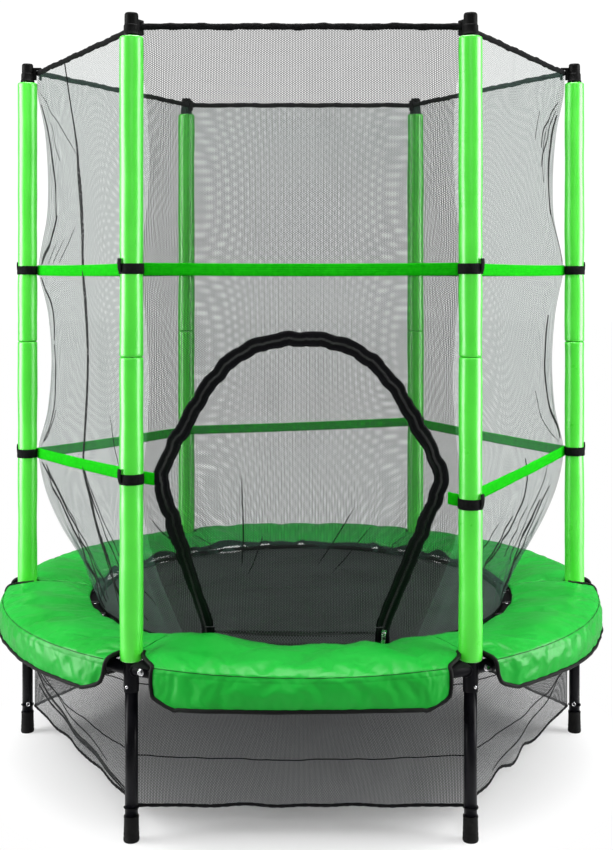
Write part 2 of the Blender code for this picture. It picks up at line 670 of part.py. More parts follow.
pull = finish("zip_pull", hung(box((-0.0040, PULL_OUT, PULL_TOP - PULL_L),
                                   (0.0040, PULL_OUT + PULL_T, PULL_TOP))),
              (0.75, 0.75, 0.77), 0.25, 1.0)
window = finish("pull_window", hung(box((-0.0022, PULL_OUT - 0.01, PULL_TOP - 0.0120),
                                        (0.0022, PULL_OUT + 0.01, PULL_TOP - PULL_T))),
                BLACK, 0.5, where=cutters)
boolean(pull, window, "DIFFERENCE")
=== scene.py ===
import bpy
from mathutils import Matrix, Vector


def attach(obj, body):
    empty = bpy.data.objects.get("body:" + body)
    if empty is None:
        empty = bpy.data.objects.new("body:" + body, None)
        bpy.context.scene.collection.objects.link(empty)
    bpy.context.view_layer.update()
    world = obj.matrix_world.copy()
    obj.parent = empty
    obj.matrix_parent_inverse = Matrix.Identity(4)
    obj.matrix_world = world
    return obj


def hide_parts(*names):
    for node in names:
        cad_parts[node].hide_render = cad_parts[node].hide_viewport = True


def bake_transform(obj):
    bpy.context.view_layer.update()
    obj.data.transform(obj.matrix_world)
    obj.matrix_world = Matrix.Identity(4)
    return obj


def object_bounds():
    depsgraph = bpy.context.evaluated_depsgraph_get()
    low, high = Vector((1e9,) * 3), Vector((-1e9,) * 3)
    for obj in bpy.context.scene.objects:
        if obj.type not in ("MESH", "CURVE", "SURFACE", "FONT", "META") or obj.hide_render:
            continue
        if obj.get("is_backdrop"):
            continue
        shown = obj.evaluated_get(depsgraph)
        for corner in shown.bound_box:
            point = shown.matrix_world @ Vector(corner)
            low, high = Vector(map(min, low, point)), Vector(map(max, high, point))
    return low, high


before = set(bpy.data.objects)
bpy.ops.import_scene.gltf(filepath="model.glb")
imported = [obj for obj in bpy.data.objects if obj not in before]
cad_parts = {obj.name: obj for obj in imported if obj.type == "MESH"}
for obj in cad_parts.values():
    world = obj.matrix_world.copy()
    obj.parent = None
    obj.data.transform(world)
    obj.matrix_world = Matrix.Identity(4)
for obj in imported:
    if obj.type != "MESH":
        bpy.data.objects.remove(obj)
cad_low, cad_high = (list(map(float, c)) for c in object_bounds())

import math

import bmesh
import bpy
import numpy as np
from mathutils import Vector, geometry, noise

# ------------------------------------------------------------------ camera
scene = bpy.context.scene
cam_data = bpy.data.cameras.new("camera")
cam = bpy.data.objects.new("camera", cam_data)
scene.collection.objects.link(cam)
scene.camera = cam
cam_data.sensor_width = 36.0
cam_data.lens = 51.76
cam_data.shift_x = 0.0065
cam_data.shift_y = -0.1741
cam.location = (0.0, -2.928, 1.089)
cam.rotation_euler = (math.radians(90), 0, 0)
scene.view_settings.view_transform = "Standard"

# ------------------------------------------------------------------ dimensions shared with the CAD
R = 0.655
LEG_DEG = [240.0 + 60.0 * i for i in range(6)]
LEG_XY = [(R * math.cos(math.radians(a)), R * math.sin(math.radians(a))) for a in LEG_DEG]
RING_Z = 0.333
TUBE_R = 0.0125
SLEEVE_R = 0.0230
UPPER_Z, LOWER_Z = 1.105, 0.670
LOWER_AT = [0.700, 0.652, 0.673, 0.678, 0.654, 0.668]  # the lower strap's height at each post
SILL_Z = 0.384
HALF_SILL = (-0.190, 0.165)
DOOR_ARCH = [(0.273, 0.695), (0.251, 0.757), (0.228, 0.797), (0.184, 0.872), (0.128, 0.932),
             (0.066, 0.961), (0.0, 0.968)]
NET_TOP, NET_LOW = 1.583, 0.3346
# the net's distance from the middle at each height: beside a post, and midway between two
AT_POST = np.array([
    (0.3342, 0.470), (0.360, 0.484), (0.410, 0.516), (0.507, 0.576), (0.585, 0.611),
    (0.670, 0.6290), (0.780, 0.609), (0.890, 0.602), (1.000, 0.610), (1.105, 0.6290),
    (1.250, 0.606), (1.430, 0.609), (1.553, 0.6305), (1.583, 0.6310)])
AT_MID = np.array([
    (0.3342, 0.474), (0.360, 0.4835), (0.410, 0.494), (0.507, 0.515), (0.670, 0.5440),
    (0.780, 0.538), (0.890, 0.534), (1.000, 0.538), (1.105, 0.5440), (1.250, 0.532),
    (1.430, 0.532), (1.553, 0.5450), (1.583, 0.5465)])
COS30 = math.cos(math.radians(30))
UP = np.array([0, 0, 1.0])
HEX_R = 0.6308  # the straps' hexagon, corner radius
TUBE_NOTCH = 0.0245  # the rim cover's cut-out round a post, radius
SLEEVE_BORE = 0.0129
WHITE = (1.0, 1.0, 1.0)


# ------------------------------------------------------------------ mesh helpers
def piece(made, slot, *nodes, body="frame"):
    """Hide the CAD nodes that the piece replaces and attach it to the body that carries it; slot,
    what the piece is made of, is not used.
    """
    if nodes:
        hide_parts(*nodes)
    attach(made, body)
    return made


def polar(radius, degrees, z):
    return np.array([radius * math.cos(math.radians(degrees)),
                     radius * math.sin(math.radians(degrees)), z])


def circle(count):
    """Angles of count points round a full turn."""
    return np.linspace(0, 2 * np.pi, count + 1)[:-1]


def lengths(points):
    """The running length along a line of points."""
    return np.concatenate([[0], np.cumsum(np.linalg.norm(np.diff(points, axis=0), axis=1))])


def uv_grid(u, v):
    return np.stack(np.broadcast_arrays(u, v), axis=-1)


def points_of(mesh):
    co = np.zeros(len(mesh.vertices) * 3, np.float32)
    mesh.vertices.foreach_get("co", co)
    return co.reshape(-1, 3)


def move_points(mesh, co):
    mesh.vertices.foreach_set("co", co.astype(np.float32).ravel())
    mesh.update()


def from_bmesh(name, bm, material):
    mesh = bpy.data.meshes.new(name)
    bm.to_mesh(mesh)
    bm.free()
    mesh.materials.append(material)
    made = bpy.data.objects.new(name, mesh)
    scene.collection.objects.link(made)
    return made


def mended(made, merge=True):
    """Merge doubled points, or else close the open ends, and turn the faces outward."""
    bm = bmesh.new()
    bm.from_mesh(made.data)
    if merge:
        bmesh.ops.remove_doubles(bm, verts=bm.verts, dist=1e-6)
    else:
        bmesh.ops.holes_fill(bm, edges=bm.edges)
    bmesh.ops.recalc_face_normals(bm, faces=bm.faces)
    bm.to_mesh(made.data)
    bm.free()
    return made


def add_mesh(name, verts, faces, uvs=None, material=None, smooth=True):
    """uvs: one (u, v) in metres per vertex."""
    mesh = bpy.data.meshes.new(name)
    mesh.from_pydata([tuple(map(float, v)) for v in verts], [], [tuple(map(int, f)) for f in faces])
    if uvs is not None:
        layer = mesh.uv_layers.new(name="UVMap")
        loops = np.zeros(len(mesh.loops), np.int32)
        mesh.loops.foreach_get("vertex_index", loops)
        layer.data.foreach_set("uv", np.asarray(uvs, np.float32)[loops].ravel())
    if smooth:
        mesh.polygons.foreach_set("use_smooth", [True] * len(mesh.polygons))
    mesh.update()
    made = bpy.data.objects.new(name, mesh)
    scene.collection.objects.link(made)
    if material:
        mesh.materials.append(material)
    return made


def grid_faces(rows, cols, wrap_cols=False, wrap_rows=False, flip=False):
    faces = []
    for i in range(rows if wrap_rows else rows - 1):
        for j in range(cols if wrap_cols else cols - 1):
            a, b = i * cols + j, i * cols + (j + 1) % cols
            c, d = ((i + 1) % rows) * cols + (j + 1) % cols, ((i + 1) % rows) * cols + j
            faces.append((a, d, c, b) if flip else (a, b, c, d))
    return faces


def grid_mesh(name, points, material, uv=None, wrap_cols=False, wrap_rows=False, flip=False):
    """points: rows x cols x 3. UV defaults to lengths along the middle row and column."""
    points = np.asarray(points, float)
    rows, cols = points.shape[:2]
    if uv is None:
        uv = uv_grid(lengths(points[rows // 2])[None, :], lengths(points[:, cols // 2])[:, None])
    return add_mesh(name, points.reshape(-1, 3), grid_faces(rows, cols, wrap_cols, wrap_rows, flip),
                    np.asarray(uv).reshape(-1, 2), material)


def lathe(name, profile, centre, material, sides=48, closed=False):
    """Turn (r, z) points about a vertical axis; profile ends on the axis or is a closed loop."""
    verts, uvs = [], []
    length = 0.0
    for k, (r, z) in enumerate(profile):
        if k:
            length += math.dist(profile[k - 1], (r, z))
        for s in range(sides):
            a = 2 * math.pi * s / sides
            verts.append((centre[0] + r * math.cos(a), centre[1] + r * math.sin(a), z))
            uvs.append((a * 0.02, length))
    return mended(add_mesh(name, verts, grid_faces(len(profile), sides, True, closed), uvs,
                           material))


def tube(name, path, radius, material, sides=10, closed=False, squash=1.0):
    """A round or oval cord along points, with its section carried along without twist."""
    pts = np.asarray(path, float)
    n = len(pts)
    if closed:
        tangents = np.roll(pts, -1, 0) - np.roll(pts, 1, 0)
    else:
        tangents = np.gradient(pts, axis=0)
    tangents /= np.linalg.norm(tangents, axis=1)[:, None]
    up = np.array([0, 0, 1.0])
    if abs(tangents[0] @ up) > 0.9:
        up = np.array([1.0, 0, 0])
    radii = np.broadcast_to(np.asarray(radius, float), (n,))
    rows, uvs = [], []
    run = lengths(pts)
    ring = 2 * np.pi * np.arange(sides) / sides
    for k in range(n):
        up = up - tangents[k] * (up @ tangents[k])
        up /= np.linalg.norm(up)
        side = np.cross(tangents[k], up)
        rows.append(pts[k] + radii[k] * (np.cos(ring)[:, None] * side * squash
                                         + np.sin(ring)[:, None] * up))
        uvs.append(np.stack([np.full(sides, run[k]), ring * radii[k]], axis=1))
    rows, uvs = np.array(rows), np.array(uvs)
    faces = grid_faces(n, sides, wrap_cols=True, wrap_rows=closed)
    if not closed:
        faces += [tuple(range(sides))[::-1], tuple((n - 1) * sides + k for k in range(sides))]
    return add_mesh(name, rows.reshape(-1, 3), faces, uvs.reshape(-1, 2), material)


def smooth_line(points, count, closed=False):
    """Catmull-Rom through points, resampled evenly to count points."""
    pts = [np.asarray(p, float) for p in points]
    out = []
    n = len(pts)
    for k in range(n if closed else n - 1):
        p1, p2 = pts[k], pts[(k + 1) % n]
        p0 = pts[(k - 1) % n] if closed or k else 2 * p1 - p2
        p3 = pts[(k + 2) % n] if closed or k < n - 2 else 2 * p2 - p1
        for t in np.linspace(0, 1, 17)[:-1]:
            out.append(0.5 * (2 * p1 + (p2 - p0) * t + (2 * p0 - 5 * p1 + 4 * p2 - p3) * t**2
                              + (3 * p1 - p0 - 3 * p2 + p3) * t**3))
    if not closed:
        out.append(pts[-1])
    out = np.array(out)
    loop = np.vstack([out, out[:1]]) if closed else out
    run = lengths(loop)
    at = np.linspace(0, run[-1], count + 1 if closed else count)
    if closed:
        at = at[:-1]
    return np.stack([np.interp(at, run, loop[:, k]) for k in range(loop.shape[1])], axis=1)


def join(name, objects):
    """Join objects into one mesh, keeping their materials and UVs."""
    bpy.ops.object.select_all(action="DESELECT")
    for o in objects:
        o.select_set(True)
    bpy.context.view_layer.objects.active = objects[0]
    if len(objects) > 1:
        bpy.ops.object.join()
    objects[0].name = name
    objects[0].data.name = name
    return objects[0]


def fbm(p, scale, seed=0.0, octaves=3):
    v = Vector((p[0] * scale + seed, p[1] * scale - seed * 0.7, p[2] * scale + seed * 1.3))
    return noise.fractal(v, 1.0, 2.0, octaves)


def wob(values, seed):
    """Smooth repeatable wobble of a 1-D array, about -1..1."""
    v = np.asarray(values, float)
    return (np.sin(v * 7.3 + seed) + 0.6 * np.sin(v * 13.1 + seed * 2.7)
            + 0.4 * np.sin(v * 29.7 + seed * 4.1)) / 2.0


# ------------------------------------------------------------------ material helpers
class Mat:
    """A material with its Principled shader and short helpers for adding nodes."""

    def __init__(self, name, colour, rough, metallic=0.0, specular=0.5, **sockets):
        self.mat = bpy.data.materials.new(name)
        self.mat.use_nodes = True
        self.tree = self.mat.node_tree
        self.shader = self.tree.nodes["Principled BSDF"]
        self.set("Base Color", (*colour, 1.0))
        self.set("Roughness", rough)
        self.set("Metallic", metallic)
        self.set("Specular IOR Level", specular)
        for key, value in sockets.items():
            self.set(key.replace("_", " "), value)
        self.height = None

    def set(self, socket, value):
        self.shader.inputs[socket].default_value = value

    def node(self, kind, **inputs):
        made = self.tree.nodes.new(kind)
        for key, value in inputs.items():
            target = made.inputs[int(key[1:])] if key[0] == "i" and key[1:].isdigit() else \
                made.inputs[key.replace("_", " ")]
            if isinstance(value, bpy.types.NodeSocket):
                self.tree.links.new(value, target)
            else:
                target.default_value = value
        return made

    def math(self, op, a, b=None):
        made = self.node("ShaderNodeMath", i0=a, **({} if b is None else {"i1": b}))
        made.operation = op
        return made.outputs[0]

    def vector_math(self, op, **inputs):
        made = self.node("ShaderNodeVectorMath", **inputs)
        made.operation = op
        return made.outputs["Value"]

    def dot(self, vector, direction):
        return self.vector_math("DOT_PRODUCT", i0=vector, i1=direction)

    @property
    def uv(self):
        if not hasattr(self, "_uv"):
            self._uv = self.node("ShaderNodeUVMap").outputs[0]
        return self._uv

    @property
    def obj(self):
        if not hasattr(self, "_obj"):
            self._obj = self.node("ShaderNodeTexCoord").outputs["Object"]
        return self._obj

    def noise(self, scale, detail=3.0, rough=0.5, vector=None, stretch=None):
        vector = vector or self.obj
        if stretch:
            vector = self.node("ShaderNodeMapping", Vector=vector, Scale=stretch).outputs[0]
        return self.node("ShaderNodeTexNoise", Vector=vector, Scale=scale, Detail=detail,
                         Roughness=rough).outputs["Fac"]

    def span(self, value, low, high, to_low, to_high):
        return self.node("ShaderNodeMapRange", Value=value, From_Min=low, From_Max=high,
                         To_Min=to_low, To_Max=to_high).outputs[0]

    def link(self, output, socket):
        self.tree.links.new(output, self.shader.inputs[socket])

    def bump(self, height, strength, distance):
        made = self.node("ShaderNodeBump", Strength=strength, Distance=distance, Height=height)
        if self.height is not None:
            self.tree.links.new(self.height, made.inputs["Normal"])
        self.height = made.outputs[0]
        self.link(self.height, "Normal")

    def tint(self, fac, low, high, start=0.3, end=0.7):
        """Colour between two shades as the factor goes from start to end."""
        if (start, end) != (0, 1):
            fac = self.span(fac, start, end, 0.0, 1.0)
        made = self.node("ShaderNodeMix", i0=fac, i6=(*low, 1.0), i7=(*high, 1.0))
        made.data_type = "RGBA"
        self.link(made.outputs[2], "Base Color")

    def roughen(self, fac, low, high, start=0.3, end=0.7):
        self.link(self.span(fac, start, end, low, high), "Roughness")

    def ridged(self, vector, scale, detail, rough):
        """Noise with sharp ridges, for creases."""
        made = self.node("ShaderNodeTexNoise", Vector=vector, Scale=scale, Detail=detail,
                         Roughness=rough)
        made.noise_type = "RIDGED_MULTIFRACTAL"
        made.normalize = True
        return made.outputs["Fac"]

    def weave(self, pitch):
        """Over-and-under weave height from the metre UVs."""
        k = 2 * math.pi / pitch
        u = self.math("SINE", self.dot(self.uv, (k, 0, 0)))
        v = self.math("SINE", self.dot(self.uv, (0, k, 0)))
        return self.math("MULTIPLY", u, v)

    def mesh_alpha(self, cell, cover, soft, extra):
        """Hexagonal holes: alpha is 1 on the threads and 0 in the holes. cover 0..1."""
        k = 2 * math.pi / (cell * COS30)
        waves = [self.math("COSINE", self.dot(self.uv, (k * math.cos(a), k * math.sin(a), 0)))
                 for a in (0.0, math.radians(60), math.radians(120))]
        total = self.math("ADD", self.math("ADD", waves[0], waves[1]), waves[2])
        # threshold of the lattice function that leaves roughly this share as thread
        mid = np.interp(cover, [0.1, 0.25, 0.4, 0.55, 0.7, 0.9],
                        [-1.2, -0.95, -0.65, -0.2, 0.45, 1.8])
        alpha = self.span(total, mid + soft, mid - soft, 0.0, 1.0)
        self.link(self.math("MAXIMUM", alpha, extra), "Alpha")


def black_steel():
    m = Mat("black_steel", (0.003, 0.003, 0.004), 0.34, specular=0.10)
    m.bump(m.noise(900.0, 2.0), 0.12, 0.0006)
    rub = m.noise(14.0, 5.0, 0.6)
    m.roughen(rub, 0.26, 0.46, 0.35, 0.75)
    m.tint(rub, (0.002, 0.002, 0.003), (0.006, 0.006, 0.008), 0.45, 0.8)
    return m.mat


def black_plastic():
    m = Mat("black_plastic", (0.003, 0.003, 0.003), 0.42, specular=0.07)
    m.bump(m.noise(1400.0, 2.0), 0.2, 0.0004)
    m.roughen(m.noise(40.0, 4.0), 0.36, 0.52)
    return m.mat


def foot_rubber():
    m = Mat("foot_rubber", (0.004, 0.004, 0.004), 0.6, specular=0.10)
    m.bump(m.noise(700.0, 3.0), 0.25, 0.0005)
    m.tint(m.noise(60.0, 6.0, 0.65), (0.003, 0.003, 0.003), (0.012, 0.012, 0.011), 0.5, 0.8)
    return m.mat


def foam_sleeve():
    m = Mat("foam_sleeve", (0.050, 0.55, 0.025), 0.33, specular=0.6, Coat_Weight=0.9,
            Coat_Roughness=0.30)
    m.tint(m.noise(7.0, 3.0, 0.5), (0.050, 0.60, 0.026), (0.070, 0.70, 0.036))
    m.bump(m.noise(26.0, 2.0, 0.4), 0.07, 0.004)
    m.bump(m.noise(1100.0, 2.0), 0.08, 0.0004)
    m.roughen(m.noise(25.0, 4.0), 0.27, 0.40)
    return m.mat


def pad_vinyl():
    m = Mat("pad_vinyl", (0.008, 0.36, 0.026), 0.33, specular=0.20, Coat_Weight=0.12,
            Coat_Roughness=0.22)
    # crumpled coated cloth: sharp ridged creases of two sizes over a soft swell
    for size, strength, depth in ((6.0, 0.36, 0.010), (15.0, 0.26, 0.004)):
        m.bump(m.ridged(m.obj, size, 3.0, 0.55), strength, depth)
    # and tilted ones on the valance only, below its seam
    tilted = m.node("ShaderNodeMapping", Vector=m.obj, Rotation=(0.5, 0.6, 0.3),
                    Scale=(1.0, 1.0, 0.55))
    level = m.math("SUBTRACT", m.ridged(tilted.outputs[0], 17.0, 2.0, 0.5), 0.5)
    hangs = m.span(m.dot(m.obj, (0, 0, 1)), 0.358, 0.346, 0.0, 1.0)
    m.bump(m.math("MULTIPLY", level, hangs), 0.85, 0.009)
    m.bump(m.weave(0.0012), 0.12, 0.0002)
    m.tint(m.noise(5.0, 4.0, 0.6), (0.005, 0.265, 0.020), (0.010, 0.355, 0.034))
    m.roughen(m.noise(30.0, 5.0), 0.30, 0.46, 0.3, 0.75)
    return m.mat


def piping():
    m = Mat("piping", (0.003, 0.003, 0.003), 0.5, specular=0.12)
    m.bump(m.weave(0.0014), 0.3, 0.0003)
    return m.mat


def seam_thread():
    m = Mat("seam_thread", (0.002, 0.060, 0.006), 0.6, specular=0.2)
    m.bump(m.math("SINE", m.dot(m.uv, (2 * math.pi / 0.004, 0, 0))), 0.6, 0.0005)
    return m.mat


def webbing():
    m = Mat("green_webbing", (0.005, 0.40, 0.003), 0.85, specular=0.06)
    m.bump(m.weave(0.0026), 0.45, 0.0005)
    m.bump(m.math("SINE", m.dot(m.uv, (0, 2 * math.pi / 0.0042, 0))), 0.3, 0.0004)
    m.tint(m.noise(120.0, 3.0, vector=m.uv), (0.003, 0.34, 0.002), (0.008, 0.45, 0.004))
    return m.mat


def band_fabric():
    m = Mat("black_band", (0.004, 0.004, 0.004), 0.7, specular=0.08)
    m.bump(m.weave(0.0020), 0.5, 0.0005)
    m.tint(m.noise(180.0, 4.0), (0.002, 0.002, 0.002), (0.007, 0.007, 0.008))
    return m.mat


def zip_cloth():
    m = Mat("zip_cloth", (0.002, 0.002, 0.003), 0.40, specular=0.12)
    # two stitch lines and a faint rib along the tape; the UV's v runs across it in metres
    v = m.dot(m.uv, (0, 1, 0))
    u = m.dot(m.uv, (1, 0, 0))
    stitch = None
    for at in (0.0035, 0.0115):
        gap = m.math("ABSOLUTE", m.math("SUBTRACT", v, at))
        line = m.span(gap, 0.0004, 0.0011, 1.0, 0.0)
        stitch = line if stitch is None else m.math("MAXIMUM", stitch, line)
    dash = m.math("SINE", m.math("MULTIPLY", u, 2 * math.pi / 0.0042))
    stitch = m.math("MULTIPLY", stitch, m.span(dash, -0.75, -0.4, 0.0, 1.0))
    m.bump(stitch, 0.8, 0.0006)
    m.bump(m.weave(0.0016), 0.35, 0.0003)
    m.bump(m.noise(38.0, 4.0, 0.6), 0.5, 0.006)
    m.tint(stitch, (0.002, 0.002, 0.003), (0.009, 0.009, 0.010), 0, 1)
    return m.mat


def zip_coil():
    m = Mat("zip_coil", (0.016, 0.016, 0.017), 0.35)
    teeth = m.math("SINE", m.dot(m.uv, (2 * math.pi / 0.0022, 0, 0)))
    m.bump(teeth, 1.0, 0.0009)
    # the coil's colour follows its teeth: painted shade in the gaps between them and painted light
    # on their crests
    m.tint(teeth, (0.002, 0.002, 0.002), (0.020, 0.020, 0.022), -0.6, 0.8)
    return m.mat


def bright_metal():
    m = Mat("bright_metal", (0.74, 0.74, 0.76), 0.22, metallic=1.0)
    m.roughen(m.noise(220.0, 4.0), 0.15, 0.34)
    m.bump(m.noise(500.0, 3.0), 0.1, 0.0003)
    return m.mat


def mat_weave():
    m = Mat("mat_weave", (0.014, 0.018, 0.018), 0.6, specular=0.3)
    m.bump(m.weave(0.0030), 0.5, 0.0006)
    m.tint(m.noise(8.0, 6.0, 0.65), (0.011, 0.014, 0.014), (0.022, 0.027, 0.027), 0.3, 0.72)
    m.bump(m.noise(22.0, 4.0, 0.6), 0.12, 0.004)
    m.roughen(m.noise(16.0, 5.0), 0.46, 0.66)
    return m.mat


def elastic():
    m = Mat("elastic_cord", (0.03, 0.03, 0.03), 0.6, specular=0.2)
    m.bump(m.weave(0.0022), 0.5, 0.0005)
    speck = m.math("MULTIPLY", m.math("SINE", m.dot(m.uv, (900.0, 700.0, 0))),
                   m.math("SINE", m.dot(m.uv, (900.0, -700.0, 0))))
    m.tint(speck, (0.012, 0.012, 0.012), (0.16, 0.16, 0.16), 0.3, 0.6)
    return m.mat


def net_mesh(name, cover, cell=0.0042, colour=(0.018, 0.021, 0.020)):
    m = Mat(name, colour, 0.7, specular=0.15)
    gather = m.noise(5.0, 3.0, 0.6, stretch=(1, 1, 0.4))
    thick = m.span(gather, 0.55, 0.85, 0.0, 0.22)
    m.mesh_alpha(cell, cover, 0.75, extra=thick)
    return m.mat


def net_dense(name, cover=0.8):
    m = Mat(name, (0.006, 0.007, 0.007), 0.7, specular=0.15)
    frayed = m.noise(160.0, 4.0, 0.7)
    m.link(m.span(frayed, 0.42 - cover * 0.2, 0.62 - cover * 0.2, 0.25, 1.0), "Alpha")
    return m.mat


STEEL, PLASTIC, RUBBER = black_steel(), black_plastic(), foot_rubber()
FOAM, VINYL, PIPING, WEB = foam_sleeve(), pad_vinyl(), piping(), webbing()
BAND, ZIP, COIL, METAL = band_fabric(), zip_cloth(), zip_coil(), bright_metal()
MATW, ELASTIC, SEAM = mat_weave(), elastic(), seam_thread()
# painted light: the side and rear copies of the one black net are coloured lighter and greener than
# the front copy, the rear most, for the green-tinted light they show; the front copy stays near the
# thread's own black
NET_SIDE_PAINTED_LIGHT = net_mesh("net_mesh", 0.31, colour=(0.036, 0.070, 0.057))
NET_REAR_PAINTED_LIGHT = net_mesh("net_mesh_rear_painted_light", 0.23, colour=(0.070, 0.140, 0.115))
NET_FRONT = net_mesh("net_mesh_front", 0.52, cell=0.0035, colour=(0.013, 0.015, 0.014))
SKIRT = net_mesh("skirt_mesh", 0.64, cell=0.0030, colour=(0.040, 0.042, 0.043))
DENSE = net_dense("net_gathered")


def stud(centre, axis, a, b, stations, sides, smooth=True):
    """A metal stud of (radius, height) stations along an axis, closed at both ends."""
    verts = []
    for r, h in stations:
        for k in range(sides):
            t = 2 * math.pi * (k + 0.5) / sides
            verts.append(centre + axis * h + a * r * math.cos(t) + b * r * math.sin(t))
    faces = grid_faces(len(stations), sides, wrap_cols=True)
    faces.append(tuple(range(sides))[::-1])
    faces.append(tuple((len(stations) - 1) * sides + k for k in range(sides)))
    return add_mesh("stud", verts, faces, [(v[0], v[2]) for v in verts], METAL, smooth)


def axes(degrees):
    """Outward and sideways unit vectors at an angle round the ring."""
    out = polar(1.0, degrees, 0)
    return out, np.array([-out[1], out[0], 0])


# ------------------------------------------------------------------ legs, feet, rails
for i, c in enumerate(LEG_XY):
    n = i + 1
    leg = lathe(f"leg_tube_{n}", [(0.0110, 0.0062), (TUBE_R, 0.0062), (TUBE_R, 0.3188),
                                  (0.0110, 0.3188)], c, STEEL, 40, closed=True)
    piece(leg, "leg_steel", f"leg_{n}")
    # the rubber foot: flared sole, a rolled mouth and two shallow grip grooves
    foot = lathe(f"rubber_foot_{n}", [
        (0, 0.0), (0.0130, 0.0), (0.0146, 0.0006), (0.0154, 0.0022), (0.0156, 0.0050),
        (0.0154, 0.0085), (0.0149, 0.0098), (0.0149, 0.0112), (0.0153, 0.0125), (0.0150, 0.0180),
        (0.0146, 0.0192), (0.0146, 0.0206), (0.0149, 0.0218), (0.0145, 0.0300), (0.0143, 0.0440),
        (0.0147, 0.0462), (0.0147, 0.0485), (0.0141, 0.0499), (0.0130, 0.0499), (0.0128, 0.0480)],
        c, RUBBER, 40)
    piece(foot, "foot_rubber", f"foot_cap_{n}")

for i, leg_deg in enumerate(LEG_DEG):
    n = i + 1
    pieces = []
    # tube from the last joint to just past this leg's tee
    angles = np.linspace(leg_deg - 60.0 + 4.25, leg_deg + 4.2, 41)
    path = [polar(R, a, RING_Z) for a in angles]
    pieces.append(tube("rail", path, TUBE_R, STEEL, 24))
    tee = [(0.0129, 0.2900), (0.0149, 0.2900), (0.0150, 0.2905), (0.0150, 0.3483),
           (0.0148, 0.3489), (0.0129, 0.3489)]
    pieces.append(lathe("tee", tee, LEG_XY[i], STEEL, 32, closed=True))
    # weld beads where the arms meet the tee, and the rolled lip at the joint
    radial = polar(1.0, leg_deg, 0)
    along = polar(1.0, leg_deg + 90, 0)
    for sign in (-1, 1):
        centre = np.array([*LEG_XY[i], RING_Z]) + along * sign * 0.0118
        bead = []
        for k in range(40):
            a = 2 * math.pi * k / 40
            lump = 0.0132 + 0.0004 * math.sin(9 * a)
            reach = 0.0150 * (1 - math.cos(math.asin(min(1, abs(lump * math.cos(a)) / 0.0150))))
            bead.append(centre + radial * lump * math.cos(a) + np.array([0, 0, lump * math.sin(a)])
                        - along * sign * reach + along * sign * 0.0030)
        pieces.append(tube("bead", bead, 0.0016, STEEL, 8, closed=True))
    lip = [polar(R, leg_deg + 4.2, RING_Z) + radial * 0.0127 * math.cos(a)
           + np.array([0, 0, 0.0127 * math.sin(a)]) for a in circle(28)]
    pieces.append(tube("lip", lip, 0.0009, STEEL, 8, closed=True))
    rail = join(f"ring_rail_{n}", pieces)
    piece(rail, "rail_steel", f"frame_rail_{n}")

    # joint bolt with washer and nut through the tube beside the tee, and the leg's snap button
    spot = polar(R, leg_deg + 2.65, RING_Z)
    out, side = axes(leg_deg + 2.65)
    bolt = [stud(spot, axis, side, UP, stations, sides, sides > 6) for axis, sides, stations in (
        (out, 24, [(0.0068, 0.0117), (0.0070, 0.0121), (0.0068, 0.0127)]),
        (out, 6, [(0.0054, 0.0127), (0.0056, 0.0131), (0.0056, 0.0160), (0.0048, 0.0167),
                  (0.0030, 0.0169)]),
        (-out, 24, [(0.0068, 0.0117), (0.0068, 0.0127)]),
        (-out, 6, [(0.0056, 0.0127), (0.0056, 0.0170), (0.0048, 0.0176)]),
        (-out, 16, [(0.0028, 0.0170), (0.0028, 0.0205), (0.0022, 0.0209)]))]
    bolt = join(f"joint_bolt_{n}", bolt)
    piece(bolt, "zip_metal")
    c = np.array([*LEG_XY[i], 0.3010])
    button = stud(c, radial, along, UP, [(0.0034, 0.0125), (0.0034, 0.0156), (0.0028, 0.0166),
                                         (0.0012, 0.0170)], 20)
    button.name = f"snap_button_{n}"
    piece(button, "zip_metal")

